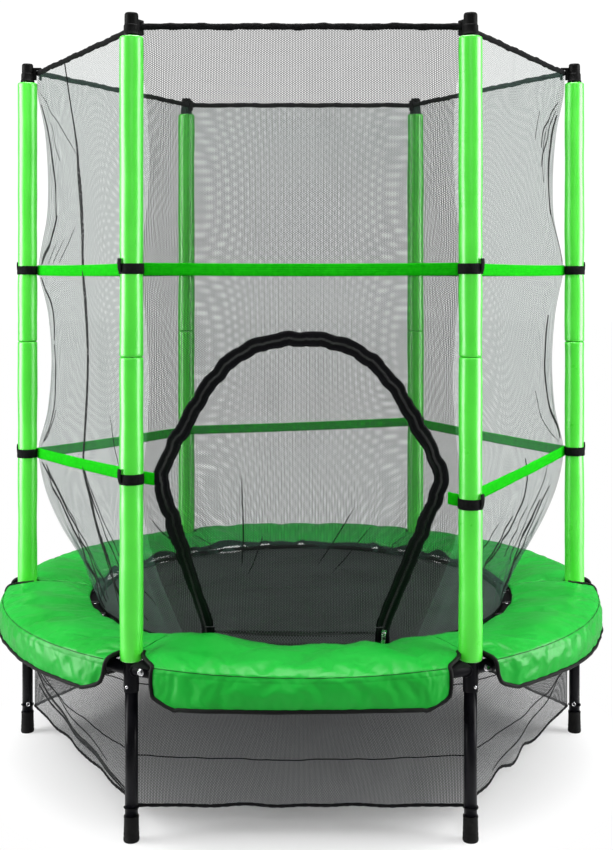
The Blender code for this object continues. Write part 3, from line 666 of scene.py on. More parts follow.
# ------------------------------------------------------------------ posts, sleeves, caps, bands
for i, c in enumerate(LEG_XY):
    n = i + 1
    post = lathe(f"post_tube_{n}", [(0.0109, 0.3194), (0.0124, 0.3194), (0.0124, 1.5912),
                                    (0.0109, 1.5912)], c, STEEL, 32, closed=True)
    piece(post, "post_steel", f"lower_post_{n}", f"upper_post_{n}")
    for part, low, high in (("lower", 0.3497, 0.9346), ("upper", 0.9354, 1.5528)):
        # soft foam: rounded ends, faint swells along it and dents under the strap bands
        zs = np.concatenate([[low, low + 0.0004, low + 0.0012, low + 0.0025],
                             np.linspace(low + 0.006, high - 0.006, 90),
                             [high - 0.0025, high - 0.0012, high - 0.0004, high]])
        outer = []
        for z in zs:
            r = SLEEVE_R - 0.0002 + 0.00045 * float(wob(z * 4.0, n * 1.7 + len(part)))
            edge = min(z - low, high - z)
            r -= 0.0022 * max(0.0, 1 - edge / 0.0025) ** 2
            for band in (UPPER_Z, LOWER_Z):
                r -= 0.0011 * math.exp(-((z - band) / 0.020) ** 2)
            outer.append((r, float(z)))
        sleeve = lathe(f"{part}_foam_{n}", [(SLEEVE_BORE, low)] + outer + [(SLEEVE_BORE, high)], c,
                       FOAM, 48, closed=True)
        # it is never quite straight on its tube
        co = points_of(sleeve.data)
        rel = np.hypot(co[:, 0] - c[0], co[:, 1] - c[1])
        share = np.clip((rel - SLEEVE_BORE) / 0.0101, 0, 1)
        ang = np.arctan2(co[:, 1] - c[1], co[:, 0] - c[0])
        lump = 0.00055 * np.sin(ang * 2 + co[:, 2] * 9 + n) * np.sin(co[:, 2] * 17 + n * 2)
        co[:, 0] += share * lump * np.cos(ang)
        co[:, 1] += share * lump * np.sin(ang)
        move_points(sleeve.data, co)
        piece(sleeve, "sleeve_foam", f"{part}_sleeve_{n}")

    cap = lathe("cap", [
        (0.0128, 1.5536), (0.0160, 1.5536), (0.0164, 1.5540), (0.0164, 1.5585), (0.0158, 1.5592),
        (0.0152, 1.5600), (0.0150, 1.5735), (0.0146, 1.5750), (0.0138, 1.5758), (0.0135, 1.5768),
        (0.0134, 1.5930), (0.0130, 1.5968), (0.0112, 1.5990), (0.0060, 1.5999), (0, 1.6000)],
        c, PLASTIC, 40)
    extras = [cap]
    out, side = axes(LEG_DEG[i])
    centre = np.array([*c, 0.0])
    # the clip that holds the net: bevelled blocks in radial, tangential and upward axes
    for low, high in (((-0.0335, -0.005, 1.5605), (-0.0288, 0.005, 1.5895)),
                      ((-0.0330, -0.0048, 1.5845), (-0.0140, 0.0048, 1.5898)),
                      ((-0.0215, -0.0048, 1.5605), (-0.0140, 0.0048, 1.5880))):
        bm = bmesh.new()
        bmesh.ops.create_cube(bm, size=1.0)
        for v in bm.verts:
            v.co = [low[k] + (v.co[k] + 0.5) * (high[k] - low[k]) for k in range(3)]
        bmesh.ops.bevel(bm, geom=bm.edges[:] + bm.verts[:], offset=0.0012, segments=2,
                        affect="EDGES", profile=0.6)
        for v in bm.verts:
            v.co = Vector(centre + out * v.co[0] + side * v.co[1] + UP * v.co[2])
        extras.append(from_bmesh("bar", bm, PLASTIC))
    cap = join(f"cap_and_clip_{n}", extras)
    piece(cap, "cap_plastic", f"post_cap_{n}")
    # cross-head screw in the cap's outer side
    spot = centre + np.array([0, 0, 1.5683])
    face = 0.0150
    direction = side if i in (1, 2, 3) else -side
    head = stud(spot, direction, out, UP, [(0.0030, face), (0.0032, face + 0.0006),
                                           (0.0026, face + 0.0013), (0.0010, face + 0.0016)], 20)
    head.name = f"cap_screw_{n}"
    piece(head, "zip_metal")

    # black bands that hold the straps to the sleeve
    for level, tag in ((UPPER_Z, "upper"), (LOWER_AT[i], "lower")):
        tall = 0.0098
        half = [(0.0226, tall), (0.0240, tall + 0.0004), (0.0246, tall - 0.0008), (0.0247, 0.004)]
        ring = ([(r, level - h) for r, h in half] + [(0.0244, level)]
                + [(r, level + h) for r, h in half[::-1]])
        band = lathe("band", ring, c, BAND, 48, closed=True)
        # its loose tail stands up against the sleeve's outer side
        turn = math.radians(LEG_DEG[i] + (25 if i in (1, 2, 3) else -25))
        away = np.array([math.cos(turn), math.sin(turn), 0])
        sideways = np.array([-away[1], away[0], 0])
        tail = []
        for w, h in ((0.0243, -0.006), (0.0262, 0.002), (0.0268, 0.012), (0.0258, 0.020)):
            at = np.array([*c, level + h]) + away * w
            tail.append([at + sideways * 0.0065 * a + away * 0.0006 * b
                         for a, b in ((-1, -1), (1, -1), (1, 1), (-1, 1))])
        tail = mended(grid_mesh("tail", tail, BAND, wrap_cols=True), merge=False)
        band = join(f"{tag}_band_{n}", [band, tail])
        piece(band, "zip_tape")

# ------------------------------------------------------------------ net surface
def smooth_table(stations, z):
    """Cubic through (z, value) stations with flat-free joins."""
    zs, vs = stations[:, 0], stations[:, 1]
    slope = np.gradient(vs, zs)
    z = np.clip(np.asarray(z, float), zs[0], zs[-1])
    k = np.clip(np.searchsorted(zs, z) - 1, 0, len(zs) - 2)
    h = zs[k + 1] - zs[k]
    t = (z - zs[k]) / h
    return ((2 * t**3 - 3 * t**2 + 1) * vs[k] + (t**3 - 2 * t**2 + t) * h * slope[k]
            + (-2 * t**3 + 3 * t**2) * vs[k + 1] + (t**3 - t**2) * h * slope[k + 1])


def share_of(deg):
    local = np.radians((np.asarray(deg, float) - 240.0) % 60.0 - 30.0)
    return (1.0 - COS30 / np.cos(local)) / (1.0 - COS30)


def net_r(deg, z):
    s = share_of(deg)
    return smooth_table(AT_POST, z) * (1 - s) + smooth_table(AT_MID, z) * s


def net_ripple(deg, z):
    """Small gathers: strongest by the posts between the straps and low down near the mat."""
    deg, z = np.asarray(deg, float), np.asarray(z, float)
    local = (deg - 240.0) % 60.0
    near_post = np.exp(-(np.minimum(local, 60.0 - local) / 7.0) ** 2)
    low = np.clip((0.62 - z) / 0.25, 0, 1) * np.clip((z - 0.335) / 0.05, 0, 1)
    held = np.minimum(np.abs(z - UPPER_Z), np.abs(z - LOWER_Z))
    held = np.clip(np.minimum(held, np.abs(z - 1.57)) / 0.05, 0, 1)
    a = np.radians(deg)
    fine = np.sin(a * 58 + 2.0 * np.sin(z * 5)) + 0.5 * np.sin(a * 97 + z * 9)
    broad = np.sin(a * 11 + z * 3.1) + 0.7 * np.sin(a * 5 - z * 4.7 + 1)
    return (0.0030 * near_post * held * fine + 0.0032 * low * fine + 0.0022 * held * broad)


def net_xyz(deg, z, off=0.0, ripple=True):
    deg, z = np.broadcast_arrays(np.asarray(deg, float), np.asarray(z, float))
    r = net_r(deg, z) + off
    if ripple:
        r = r + net_ripple(deg, z)
    a = np.radians(deg)
    return np.stack([r * np.cos(a), r * np.sin(a), z], axis=-1)


def front_deg(x, z):
    """Angle of the front panel's point that has this x."""
    x, z = np.broadcast_arrays(np.asarray(x, float), np.asarray(z, float))
    deg = np.degrees(np.arctan2(-0.5, x)) % 360.0
    for _ in range(10):
        r = net_r(deg, z)
        deg = np.degrees(np.arctan2(-np.sqrt(np.maximum(r**2 - x**2, 1e-6)), x)) % 360.0
    return deg


def zip_calm(x, z):
    """1 beside the zip's straight lower run, where the net lies smooth so the slider can pass."""
    x, z = np.asarray(x, float), np.asarray(z, float)
    away = x - (HALF_SILL[1] + 0.347 * np.maximum(0.0, z - SILL_Z))
    return np.exp(-((away / 0.030) ** 4)) * np.clip((0.60 - z) / 0.05, 0, 1)


def front_xyz(x, z, off=0.0, ripple=True):
    deg = front_deg(x, z)
    calm = zip_calm(x, z)
    if ripple:
        inward = 0.0034 * calm * np.clip((z - 0.375) / 0.07, 0, 1)
        off = off + net_ripple(deg, z) * (1 - calm) - inward
    return net_xyz(deg, z, off, False)


# side and back panels, one continuous cloth from the front right post round to the front left
for p in range(1, 6):
    first = 240.0 + 60.0 * p
    degs = np.linspace(first, first + 60.0, 111)
    zs = np.concatenate([np.linspace(NET_LOW, 0.66, 60), np.linspace(0.66, NET_TOP, 150)[1:]])
    points = net_xyz(degs[None, :], zs[:, None])
    u = np.radians(degs)[None, :] * 0.60
    uv = uv_grid(u, zs[:, None])
    panel = grid_mesh(f"net_panel_{p + 1}", points, NET_REAR_PAINTED_LIGHT if p == 3 else NET_SIDE_PAINTED_LIGHT, uv)
    piece(panel, "net_mesh", *(["enclosure_net"] if p == 1 else []))


# ------------------------------------------------------------------ doorway outline
def arch(side):
    sill = abs(HALF_SILL[0 if side < 0 else 1])
    knee_x, knee_z = DOOR_ARCH[0]
    line = [(sill, SILL_Z - 0.041), (sill, SILL_Z)]
    line += [(sill + (knee_x - sill) * t, SILL_Z + (knee_z - SILL_Z) * t)
             for t in (0.25, 0.5, 0.75)]
    line += DOOR_ARCH
    return [(side * x, z) for x, z in line]


coarse = arch(-1)[:-1] + arch(1)[::-1]
DOOR = smooth_line(coarse, 241)


def grown(line, amount):
    line = np.asarray(line, float)
    t = np.gradient(line, axis=0)
    t /= np.linalg.norm(t, axis=1)[:, None]
    return line + np.stack([-t[:, 1], t[:, 0]], axis=1) * np.asarray(amount)[..., None]


def filled(name, outline, hole, material, spacing, seed):
    """Triangulate an outline in front view (x, z), with an optional hole, and lay it on the net."""
    loops = [np.asarray(outline, float)] + ([np.asarray(hole, float)] if hole is not None else [])
    points = [Vector(p) for loop in loops for p in loop]
    edges, start = [], 0
    for loop in loops:
        m = len(loop)
        edges += [(start + k, start + (k + 1) % m) for k in range(m)]
        start += m
    low, high = loops[0].min(axis=0), loops[0].max(axis=0)
    rng = np.random.default_rng(seed)
    for x in np.arange(low[0], high[0], spacing):
        for z in np.arange(low[1], high[1], spacing):
            points.append(Vector((x + rng.uniform(-0.15, 0.15) * spacing,
                                  z + rng.uniform(-0.15, 0.15) * spacing)))
    co, _, tris, *_ = geometry.delaunay_2d_cdt(points, edges, [], 0, 1e-6)
    co = np.array([(v.x, v.y) for v in co])
    ok = []
    for t in tris:
        c = co[list(t)].mean(axis=0)
        if inside(c, loops[0]) and not (hole is not None and inside(c, loops[1])):
            ok.append(t)
    used = sorted({k for t in ok for k in t})
    back = {k: j for j, k in enumerate(used)}
    co = co[used]
    verts = front_xyz(co[:, 0], co[:, 1])
    return add_mesh(name, verts, [[back[k] for k in t] for t in ok], co, material)


# the band wanders a little on its way over the arch
loose_run = np.clip((DOOR[:, 1] - 0.50) / 0.06, 0, 1)
loose_run = loose_run * wob(np.linspace(0, 2.4, len(DOOR)) * 9.0, 1.3)
DOOR = grown(DOOR, 0.0026 * loose_run)


def inside(p, loop):
    x, z = p
    a, b = loop, np.roll(loop, -1, axis=0)
    cross = (a[:, 1] > z) != (b[:, 1] > z)
    with np.errstate(divide="ignore", invalid="ignore"):
        at = (b[:, 0] - a[:, 0]) * (z - a[:, 1]) / (b[:, 1] - a[:, 1]) + a[:, 0]
    return bool(np.count_nonzero(cross & (x < at)) % 2)


def cut_at(line, z):
    """Keep the part of a line above z and close it along z."""
    line = np.asarray(line)
    kept = line[line[:, 1] > z + 0.001]
    return np.vstack([[line[0][0], z], kept, [line[-1][0], z]])


edge_z = np.linspace(NET_LOW, NET_TOP, 120)
post_x = smooth_table(AT_POST, edge_z) / 2 * 0.9995
border = np.vstack([np.stack([-post_x, edge_z], 1), np.stack([post_x, edge_z], 1)[::-1]])
TAPE_W = 0.0150
front = filled("net_panel_1", border, cut_at(grown(DOOR, TAPE_W)[::3], SILL_Z - 0.0136), NET_FRONT,
               0.0125, 3)
piece(front, "net_mesh")
flap = filled("door_flap", cut_at(grown(DOOR, -TAPE_W)[::3], SILL_Z - 0.0134), None, NET_FRONT,
              0.0125, 5)
piece(flap, "net_mesh", "door_panel", body="door")


def tape(name, sign, line, body, *nodes):
    """Half of the zip band: binding cloth from the zip to the net, folded over at its edge."""
    run = lengths(line)
    # across the tape: distance from the zip and how far it stands off the net
    section = [(0.0006, 0.0012), (0.0014, 0.0022), (0.0030, 0.0020), (0.0050, 0.0016),
               (0.0075, 0.0022), (0.0105, 0.0026), (0.0135, 0.0022), (0.0150, 0.0010),
               (0.0146, -0.0010), (0.0105, -0.0016), (0.0050, -0.0013), (0.0010, -0.0011)]
    rows, uvs = [], []
    across = 0.0
    for k, (away, lift) in enumerate(section):
        if k:
            across += math.dist(section[k - 1], section[k])
        puff = 0.0009 * wob(run * 9.0 + k * 0.02, 2.0 + sign) * min(1.0, away / 0.008)
        puff = puff * (1 - zip_calm(line[:, 0], line[:, 1]))
        ragged = 0.0007 * wob(run * 14.0, 5.0 + sign) * (away > 0.01)
        moved = grown(line, sign * (away + ragged))
        rows.append(front_xyz(moved[:, 0], moved[:, 1], lift + puff * (1 if lift > 0 else -0.5)))
        uvs.append(np.stack([run, np.full(len(run), across)], axis=1))
    rows, uvs = np.array(rows), np.array(uvs)
    # close both ends
    ends = [np.broadcast_to(at.mean(axis=0), at.shape) for at in (rows[:, :1], rows[:, -1:])]
    rows = np.concatenate([ends[0], rows, ends[1]], axis=1)
    uvs = np.concatenate([uvs[:, :1], uvs, uvs[:, -1:]], axis=1)
    made = grid_mesh(name, rows, ZIP, uvs, wrap_rows=True, flip=sign < 0)
    piece(made, "zip_tape", *nodes, body=body)
    # the zip's coil along the edge that faces the other tape
    near = grown(line, sign * 0.0011)
    coil = tube(f"{name}_coil", front_xyz(near[:, 0], near[:, 1], 0.0024), 0.0011, COIL, 8)
    piece(coil, "zip_tape", body=body)


def door_line(foot, count):
    """The zip's line from one foot height over the arch to the other foot."""
    kept = DOOR[DOOR[:, 1] > foot]
    return smooth_line(np.vstack([[kept[0][0], foot], kept, [kept[-1][0], foot]]), count)


tape("zip_band_outer", 1, door_line(0.3440, 560), "frame", "zip_tape_outer")
tape("zip_band_inner", -1, door_line(SILL_Z + 0.0008, 520), "door", "zip_tape_inner")
# below the flap's sill the inner tape's two feet stay on the net
for tag, at in (("left", 0), ("right", -1)):
    x = DOOR[at][0]
    ends = [(x, 0.3440), (x, SILL_Z - 0.0014)]
    ends = ends if at == 0 else ends[::-1]
    tape(f"zip_foot_{tag}", -1, smooth_line(ends, 40), "frame")

# ------------------------------------------------------------------ net edges
def hem(name, z, tall, thick, seed):
    """A rolled cloth edge that runs round with the net, slightly uneven."""
    degs = np.linspace(240.0, 600.0, 721)
    arc = np.radians(degs) * 0.6
    zz = z + 0.0012 * wob(arc * 6, seed)
    ring = circle(12)
    rows = []
    for a in ring:
        r_off = thick * math.cos(a) * (1 + 0.25 * wob(arc * 11, seed + 1))
        rows.append(net_xyz(degs, zz + tall * math.sin(a) * (1 + 0.15 * wob(arc * 17, seed + 2)),
                            r_off, ripple=False))
    uv = uv_grid(arc[None, :], ring[:, None] * 0.003)
    piece(grid_mesh(name, rows, BAND, uv, wrap_rows=True), "zip_tape")


hem("net_top_hem", 1.5772, 0.0064, 0.0034, 1.0)
hem("net_foot_hem", 0.3395, 0.0042, 0.0016, 4.0)


# ------------------------------------------------------------------ straps
def strap(name, spans, node):
    """Webbing along the hexagon's sides; a span is (side, from share, to share, z, z)."""
    rows = []
    for k, (side_no, start, stop, z0, z1) in enumerate(spans):
        a, b = polar(HEX_R, LEG_DEG[side_no], 0), polar(HEX_R, LEG_DEG[side_no] + 60.0, 0)
        count = max(5, int(61 * (stop - start)))
        t = np.linspace(start, stop, count)
        mid = a[None] * (1 - t[:, None]) + b[None] * t[:, None]
        mid[:, 2] = z0 + (z1 - z0) * t - 0.002 * 4 * t * (1 - t)
        out = polar(1.0, LEG_DEG[side_no] + 30.0, 0)
        across = np.linspace(-0.0122, 0.0122, 7)
        lean = 0.12 * wob(t * 2.0, k * 1.3 + z0 * 7) * np.sin(np.pi * t)
        front, back = [], []
        for v in across:
            bulge = 0.0004 * (1 - (v / 0.0122) ** 2)
            base = mid + out[None] * (lean * v)[:, None]
            base[:, 2] += v
            front.append(base + out * (0.0009 + bulge))
            back.append(base - out * (0.0005 - bulge))
        length = np.linalg.norm(mid[-1] - mid[0])
        widths = np.array(list(across + 0.0122) + list((across + 0.0122)[::-1]))
        run = (t - start) / (stop - start) * length
        uv = uv_grid(run[None, :], widths[:, None])
        rows.append(grid_mesh("span", front + back[::-1], WEB, uv, wrap_rows=True))
    made = join(name, rows)
    piece(made, "webbing", node)


strap("green_strap_upper", [(k, 0.0, 1.0, UPPER_Z, UPPER_Z) for k in range(6)], "upper_strap")
stub = 0.5 - (DOOR_ARCH[0][0] + 0.013) / HEX_R  # the lower strap stops at the door's zip band
front_left, front_right = LOWER_AT[0], LOWER_AT[1]
strap("green_strap_lower", [(0, 0.0, stub, front_left, front_left - 0.10),
                            (0, 1.0 - stub, 1.0, front_right + 0.15, front_right)]
      + [(k, 0.0, 1.0, LOWER_AT[k], LOWER_AT[(k + 1) % 6]) for k in range(1, 6)], "lower_strap")

# ------------------------------------------------------------------ padded rim
PROFILE = [(0.4958, 0.3440), (0.4962, 0.3475), (0.5000, 0.3505), (0.5100, 0.3540), (0.5350, 0.3585),
           (0.5700, 0.3622), (0.6100, 0.3640), (0.6500, 0.3642), (0.6750, 0.3625), (0.6910, 0.3592),
           (0.6970, 0.3550), (0.7000, 0.3500), (0.7014, 0.3420), (0.7018, 0.3300), (0.7018, 0.3140),
           (0.7012, 0.2945)]
WIDTHS = [(0.360, 0.0300), (0.350, 0.0310), (0.335, 0.0330), (0.322, 0.0370), (0.311, 0.0440),
          (0.303, 0.0560), (0.2980, 0.0680), (0.2945, 0.0860)]
FRONT_WIDTHS = [(0.362, 0.0720), (0.352, 0.0765), (0.340, 0.0770), (0.325, 0.0780),
                (0.316, 0.0805), (0.308, 0.0860), (0.3025, 0.0930), (0.2985, 0.1015),
                (0.2960, 0.1110), (0.2945, 0.1240)]
PAD_ROWS, PAD_COLS = 60, 112
profile = smooth_line(PROFILE, PAD_ROWS)
seam_row = int(np.argmin(np.abs(profile[:, 0] - 0.6967) + (profile[:, 1] < 0.35)))


def slit(r):
    """Half width of the cut between two panels inside the ring: narrow, then round the post."""
    return max(0.0007, math.sqrt(max(0.0, TUBE_NOTCH**2 - (r - R) ** 2)))


def pad_half_width(r, z, row, front=False):
    """How far the panel's edge stands from the plane through the post."""
    if row > seam_row or (front and r > 0.690):
        zs, ws = zip(*(FRONT_WIDTHS if front else WIDTHS)[::-1])
        return float(np.interp(z, zs, ws))
    if r < R:
        return slit(r)
    wide = 0.0700 if front else 0.0300
    return TUBE_NOTCH + (wide - TUBE_NOTCH) * min(1.0, (r - R) / 0.035)


# where the rim cover's lip stands off the mat at the back: angle, half width, share
GAPS = [(114.0, 5.2, 1.0), (101.5, 1.8, 0.4), (126.5, 2.2, 0.35), (138.0, 4.2, 0.7),
        (150.0, 2.0, 0.3), (162.0, 3.2, 0.8), (173.0, 1.6, 0.4), (90.0, 1.2, 0.3),
        (66.0, 1.5, 0.35), (54.0, 4.0, 0.6), (42.0, 3.4, 0.8), (30.0, 2.4, 0.5)]


def gap_at(deg):
    deg = np.asarray(deg, float) % 360.0
    total = np.zeros_like(deg)
    for centre, half, share in GAPS:
        total = np.maximum(total, share * np.exp(-np.abs((deg - centre) / half) ** 3.0))
    return total


def front_pucker(deg):
    """The front panel's inner edge stands up, most where the panels meet beside the door."""
    deg = deg % 360.0
    here = math.exp(-(((deg - 270.0) / 36.0) ** 6))
    dip = 1.0 - 0.6 * math.exp(-(((deg - 290.0) / 3.6) ** 2))  # room for the zip's pull
    return here * (0.011 * dip + 0.013 * math.exp(-(((deg - 249.0) / 8.0) ** 2)))


def crumple(x, y, z, seed):
    """Creased coated cloth: sharp ridges over soft swells, in metres."""
    p = (x, y, z)
    soft = fbm(p, 6.0, seed, 2)
    sharp = 1.0 - abs(fbm((x, y, z * 1.5), 13.0, seed + 5.0, 2)) * 2.2
    finer = 1.0 - abs(fbm(p, 30.0, seed + 9.0, 2)) * 2.2
    return 0.0024 * soft + 0.0012 * sharp + 0.0004 * finer


def settle(panels, grow, frames, cap):
    """Loose coated cloth, cut larger than its frame and sewn down at its edges, buckles."""
    starts = []
    for panel, pinned, _ in panels:
        group = panel.vertex_groups.new(name="sewn")
        for weight in sorted(set(pinned.tolist())):
            if weight:
                group.add([int(k) for k in np.nonzero(pinned == weight)[0]], weight, "REPLACE")
        cloth = panel.modifiers.new("cloth", "CLOTH")
        cloth.settings.quality = 5
        cloth.settings.mass = 0.25
        cloth.settings.vertex_group_mass = "sewn"
        cloth.settings.tension_stiffness = 20.0
        cloth.settings.compression_stiffness = 20.0
        cloth.settings.shear_stiffness = 8.0
        cloth.settings.bending_stiffness = 0.25
        cloth.settings.tension_damping = cloth.settings.compression_damping = 10.0
        cloth.settings.shrink_min = -grow
        cloth.settings.use_pressure = True
        cloth.settings.uniform_pressure_force = 0.6
        cloth.settings.effector_weights.gravity = 0.0
        cloth.collision_settings.use_collision = False
        cloth.collision_settings.use_self_collision = False
        starts.append(points_of(panel.data).astype(float))
    for f in range(1, frames + 1):
        scene.frame_set(f)
    graph = bpy.context.evaluated_depsgraph_get()
    moved = [points_of(panel.evaluated_get(graph).data).astype(float) for panel, _, _ in panels]
    for (panel, _, out), start, end in zip(panels, starts, moved):
        step = end - start
        along = (step * out).sum(axis=1)
        # the foam and the ring stop it going in far, and nothing travels more than the cap
        step += out * (np.maximum(along, -0.0022) - along)[:, None]
        size = np.linalg.norm(step, axis=1)
        step *= np.minimum(1.0, cap / np.maximum(size, 1e-9))[:, None]
        panel.modifiers.remove(panel.modifiers["cloth"])
        move_points(panel.data, start + step)
    scene.frame_set(1)


loose = []
for p in range(6):
    first = LEG_DEG[p]
    points = np.zeros((PAD_ROWS, PAD_COLS, 3))
    normals = np.zeros_like(points)
    slope = np.gradient(profile, axis=0)
    slope /= np.linalg.norm(slope, axis=1)[:, None]
    behind = 1.0 if p == 3 else 0.0
    for i, (r, z) in enumerate(profile):
        half = math.degrees(math.asin(min(0.99, pad_half_width(r, z, i, p == 0) / r)))
        for j in range(PAD_COLS):
            s = j / (PAD_COLS - 1)
            s = s - 0.03 * math.sin(2 * math.pi * s)
            a = first + half + s * (60.0 - 2 * half)
            # the valance of the unseen rear panel rides up, so light shows under it
            down = max(0, i - seam_row) / (PAD_ROWS - 1 - seam_row)
            lift = behind * down * math.sin(math.pi * s)
            lift *= 0.016 + 0.006 * math.sin(s * 31.0) + 0.004 * math.sin(s * 57.0 + 1)
            # the inner lip waves up and down a little
            lip = 0.0022 * math.sin(math.radians(a) * 27 + 2 * math.sin(a * 0.11))
            lip += 0.0025 * max(0.0, math.sin(math.radians(a))) + 0.0150 * float(gap_at(a))
            lip *= max(0.0, 1 - i / 12.0)
            near = min(1.0, max(0.0, (0.625 - r) / 0.10))
            lip += front_pucker(a) * near * near * (3 - 2 * near)
            points[i, j] = polar(r, a, z + lift + lip)
            if p == 0 and i > seam_row:
                points[i, j, 2] -= 0.0085 * down * (1 - math.sin(math.pi * s)) ** 1.3
            nr, nz = -slope[i][1], slope[i][0]
            normals[i, j] = polar(nr, a, nz)
    edge = np.minimum(np.arange(PAD_COLS), PAD_COLS - 1 - np.arange(PAD_COLS)) / 9.0
    edge = np.clip(edge, 0, 1)
    for i in range(PAD_ROWS):
        down = max(0, i - seam_row) / (PAD_ROWS - 1 - seam_row)
        lip = min(1.0, i / 6.0)
        seam = 1 - 0.85 * math.exp(-((i - seam_row) / 1.3) ** 2)
        for j in range(PAD_COLS):
            x, y, z = points[i, j]
            # plump between its edges on top, loose and creased in the valance
            plump = 0.0020 * math.sin(math.pi * i / seam_row) * edge[j] if i < seam_row else 0
            fold = crumple(x, y, z, 3.1 * p) * (0.9 if i < seam_row else 1.2)
            drop = down * 0.0022 * math.sin(math.atan2(y, x) * 9 + p * 0.7)
            move = (plump + fold * (0.35 + 0.65 * edge[j])) * lip * seam + drop
            points[i, j] += normals[i, j] * (move - 0.0022)
    u = np.radians(np.linspace(0, 60, PAD_COLS))[None, :] * 0.62
    run = lengths(profile)
    uv = uv_grid(u, run[:, None])
    panel = grid_mesh(f"pad_panel_{p + 1}", points, VINYL, uv, flip=True)
    pinned = np.zeros((PAD_ROWS, PAD_COLS))
    pinned[:2] = pinned[-1] = 1.0
    pinned[:, 0] = pinned[:, -1] = 1.0
    pinned[seam_row] = 0.8
    loose.append((panel, pinned.ravel(), normals.reshape(-1, 3)))

settle(loose, 0.016, 16, 0.009)

for p, (panel, _, out) in enumerate(loose):
    n = p + 1
    points = points_of(panel.data).reshape(PAD_ROWS, PAD_COLS, 3).astype(float)
    normals = out.reshape(PAD_ROWS, PAD_COLS, 3)
    solid = panel.modifiers.new("thick", "SOLIDIFY")
    solid.thickness = 0.0012
    solid.offset = -1.0
    sub = panel.modifiers.new("smooth", "SUBSURF")
    sub.levels = sub.render_levels = 1
    piece(panel, "pad_vinyl", *(["safety_pad"] if p == 0 else []))
    # black piping round the notch and along the hem
    hole_row = int(np.argmin(np.abs(profile[:seam_row, 0] - (R - 0.018))))
    edge_line = np.vstack([points[hole_row:, 0], points[-1, 1:-1], points[hole_row:, -1][::-1]])
    cord = tube(f"pad_piping_{n}", smooth_line(edge_line[::3], 300), 0.0042, PIPING, 10)
    piece(cord, "zip_tape")
    # dark binding of the inner lip, drawn down to the mat as a dark sheet but for the gaps at the
    # back: the binding is real, the sheet below it is painted shade under the lip
    lip_line = smooth_line(points[0, 1:-1:2], 260)
    turn = np.degrees(np.arctan2(lip_line[:, 1], lip_line[:, 0])) % 360.0
    # how far the dark sheet reaches below the lip: the binding and the painted shade under it
    binding_and_shade_drop = lip_line[:, 2] - 0.0358 - 0.3000
    binding_and_shade_drop = np.clip(binding_and_shade_drop, 0.0020, None) * (1 - np.minimum(1.0, 2.2 * gap_at(turn)))
    out_way = np.stack([np.cos(np.radians(turn)), np.sin(np.radians(turn)), 0 * turn], axis=1)
    rows = []
    for side, drop in ((-0.0021, 0.35), (-0.0010, 0.0), (0.0012, 0.0), (0.0021, 0.35),
                       (0.0012, 1.0), (-0.0008, 1.0)):
        shifted = lip_line + out_way * (side + 0.0004)
        shifted[:, 2] += 0.0016 - drop * (0.0026 + binding_and_shade_drop)
        rows.append(shifted)
    binding = grid_mesh(f"pad_lip_{n}", rows, PIPING, wrap_rows=True)
    piece(binding, "zip_tape")
    # stitched seam between the top and the valance
    stitch = smooth_line(points[seam_row, 1:-1:3] + normals[seam_row, 1:-1:3] * 0.0002, 200)
    stitch = tube(f"pad_seam_{n}", stitch, 0.0008, SEAM, 6)
    piece(stitch, "pad_vinyl")

# the pad's underside, a plain backing cloth under the foam
under = [(0.4972, 0.3436), (0.5400, 0.3468), (0.6200, 0.3525), (0.6500, 0.3527), (0.6860, 0.3527),
         (0.6930, 0.3505)]
made = []
for p in range(6):
    first = LEG_DEG[p]
    rows = []
    for r, z in smooth_line(under, 20):
        half = math.degrees(math.asin((slit(r) if r < R else 0.0260) / r))
        rows.append([polar(r, first + half + (60 - 2 * half) * t, z)
                     for t in np.linspace(0, 1, 40)])
    made.append(grid_mesh("backing", rows, BAND))
backing = join("pad_backing", made)
piece(backing, "zip_tape")

# ------------------------------------------------------------------ jumping mat
MAT_TOP, MAT_R = 0.3336, 0.4985
SECTORS = 12
for k in range(SECTORS):
    first = 360.0 / SECTORS * k
    degs = np.radians(np.linspace(first, first + 360.0 / SECTORS, 13))
    rs = np.concatenate([[0.0], np.linspace(0.02, MAT_R, 34)])
    slack = gap_at(np.degrees(degs))[None, :] * np.clip((rs[:, None] - 0.45) / 0.0485, 0, 1) ** 2
    reach = rs[:, None] - 0.013 * slack
    pts = np.stack([reach * np.cos(degs)[None, :], reach * np.sin(degs)[None, :],
                    MAT_TOP - 0.008 * slack], axis=-1)
    sector = grid_mesh(f"mat_sector_{k + 1}", pts, MATW, pts[..., :2], flip=True)
    if k == 0:
        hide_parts("jump_mat")
    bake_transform(sector)

# doubled border of the mat, and its eyelet rings
degs = np.linspace(0, 360, 361)
section = [(0.4730, 0.3336), (0.4735, 0.3344), (0.4860, 0.3346), (0.4990, 0.3345), (0.4998, 0.3338),
           (0.4990, 0.3325), (0.4860, 0.3322), (0.4735, 0.3324)]
rows = [[polar(r - 0.013 * float(gap_at(a)), a, z - 0.008 * float(gap_at(a))) for a in degs]
        for r, z in section]
uv = uv_grid((np.radians(degs) * 0.48)[None, :], np.arange(len(section))[:, None] * 0.007)
border_band = grid_mesh("mat_border", rows, BAND, uv, wrap_rows=True)
piece(border_band, "mat_weave")
rings = []
for k in range(30):
    c = polar(0.487, 12.0 * k, 0.3346)
    ring = [c + np.array([0.0052 * math.cos(a), 0.0052 * math.sin(a), 0])
            for a in circle(20)]
    rings.append(tube("ring", ring, 0.0011, METAL, 8, closed=True))
rings = join("mat_eyelets", rings)
piece(rings, "zip_metal")

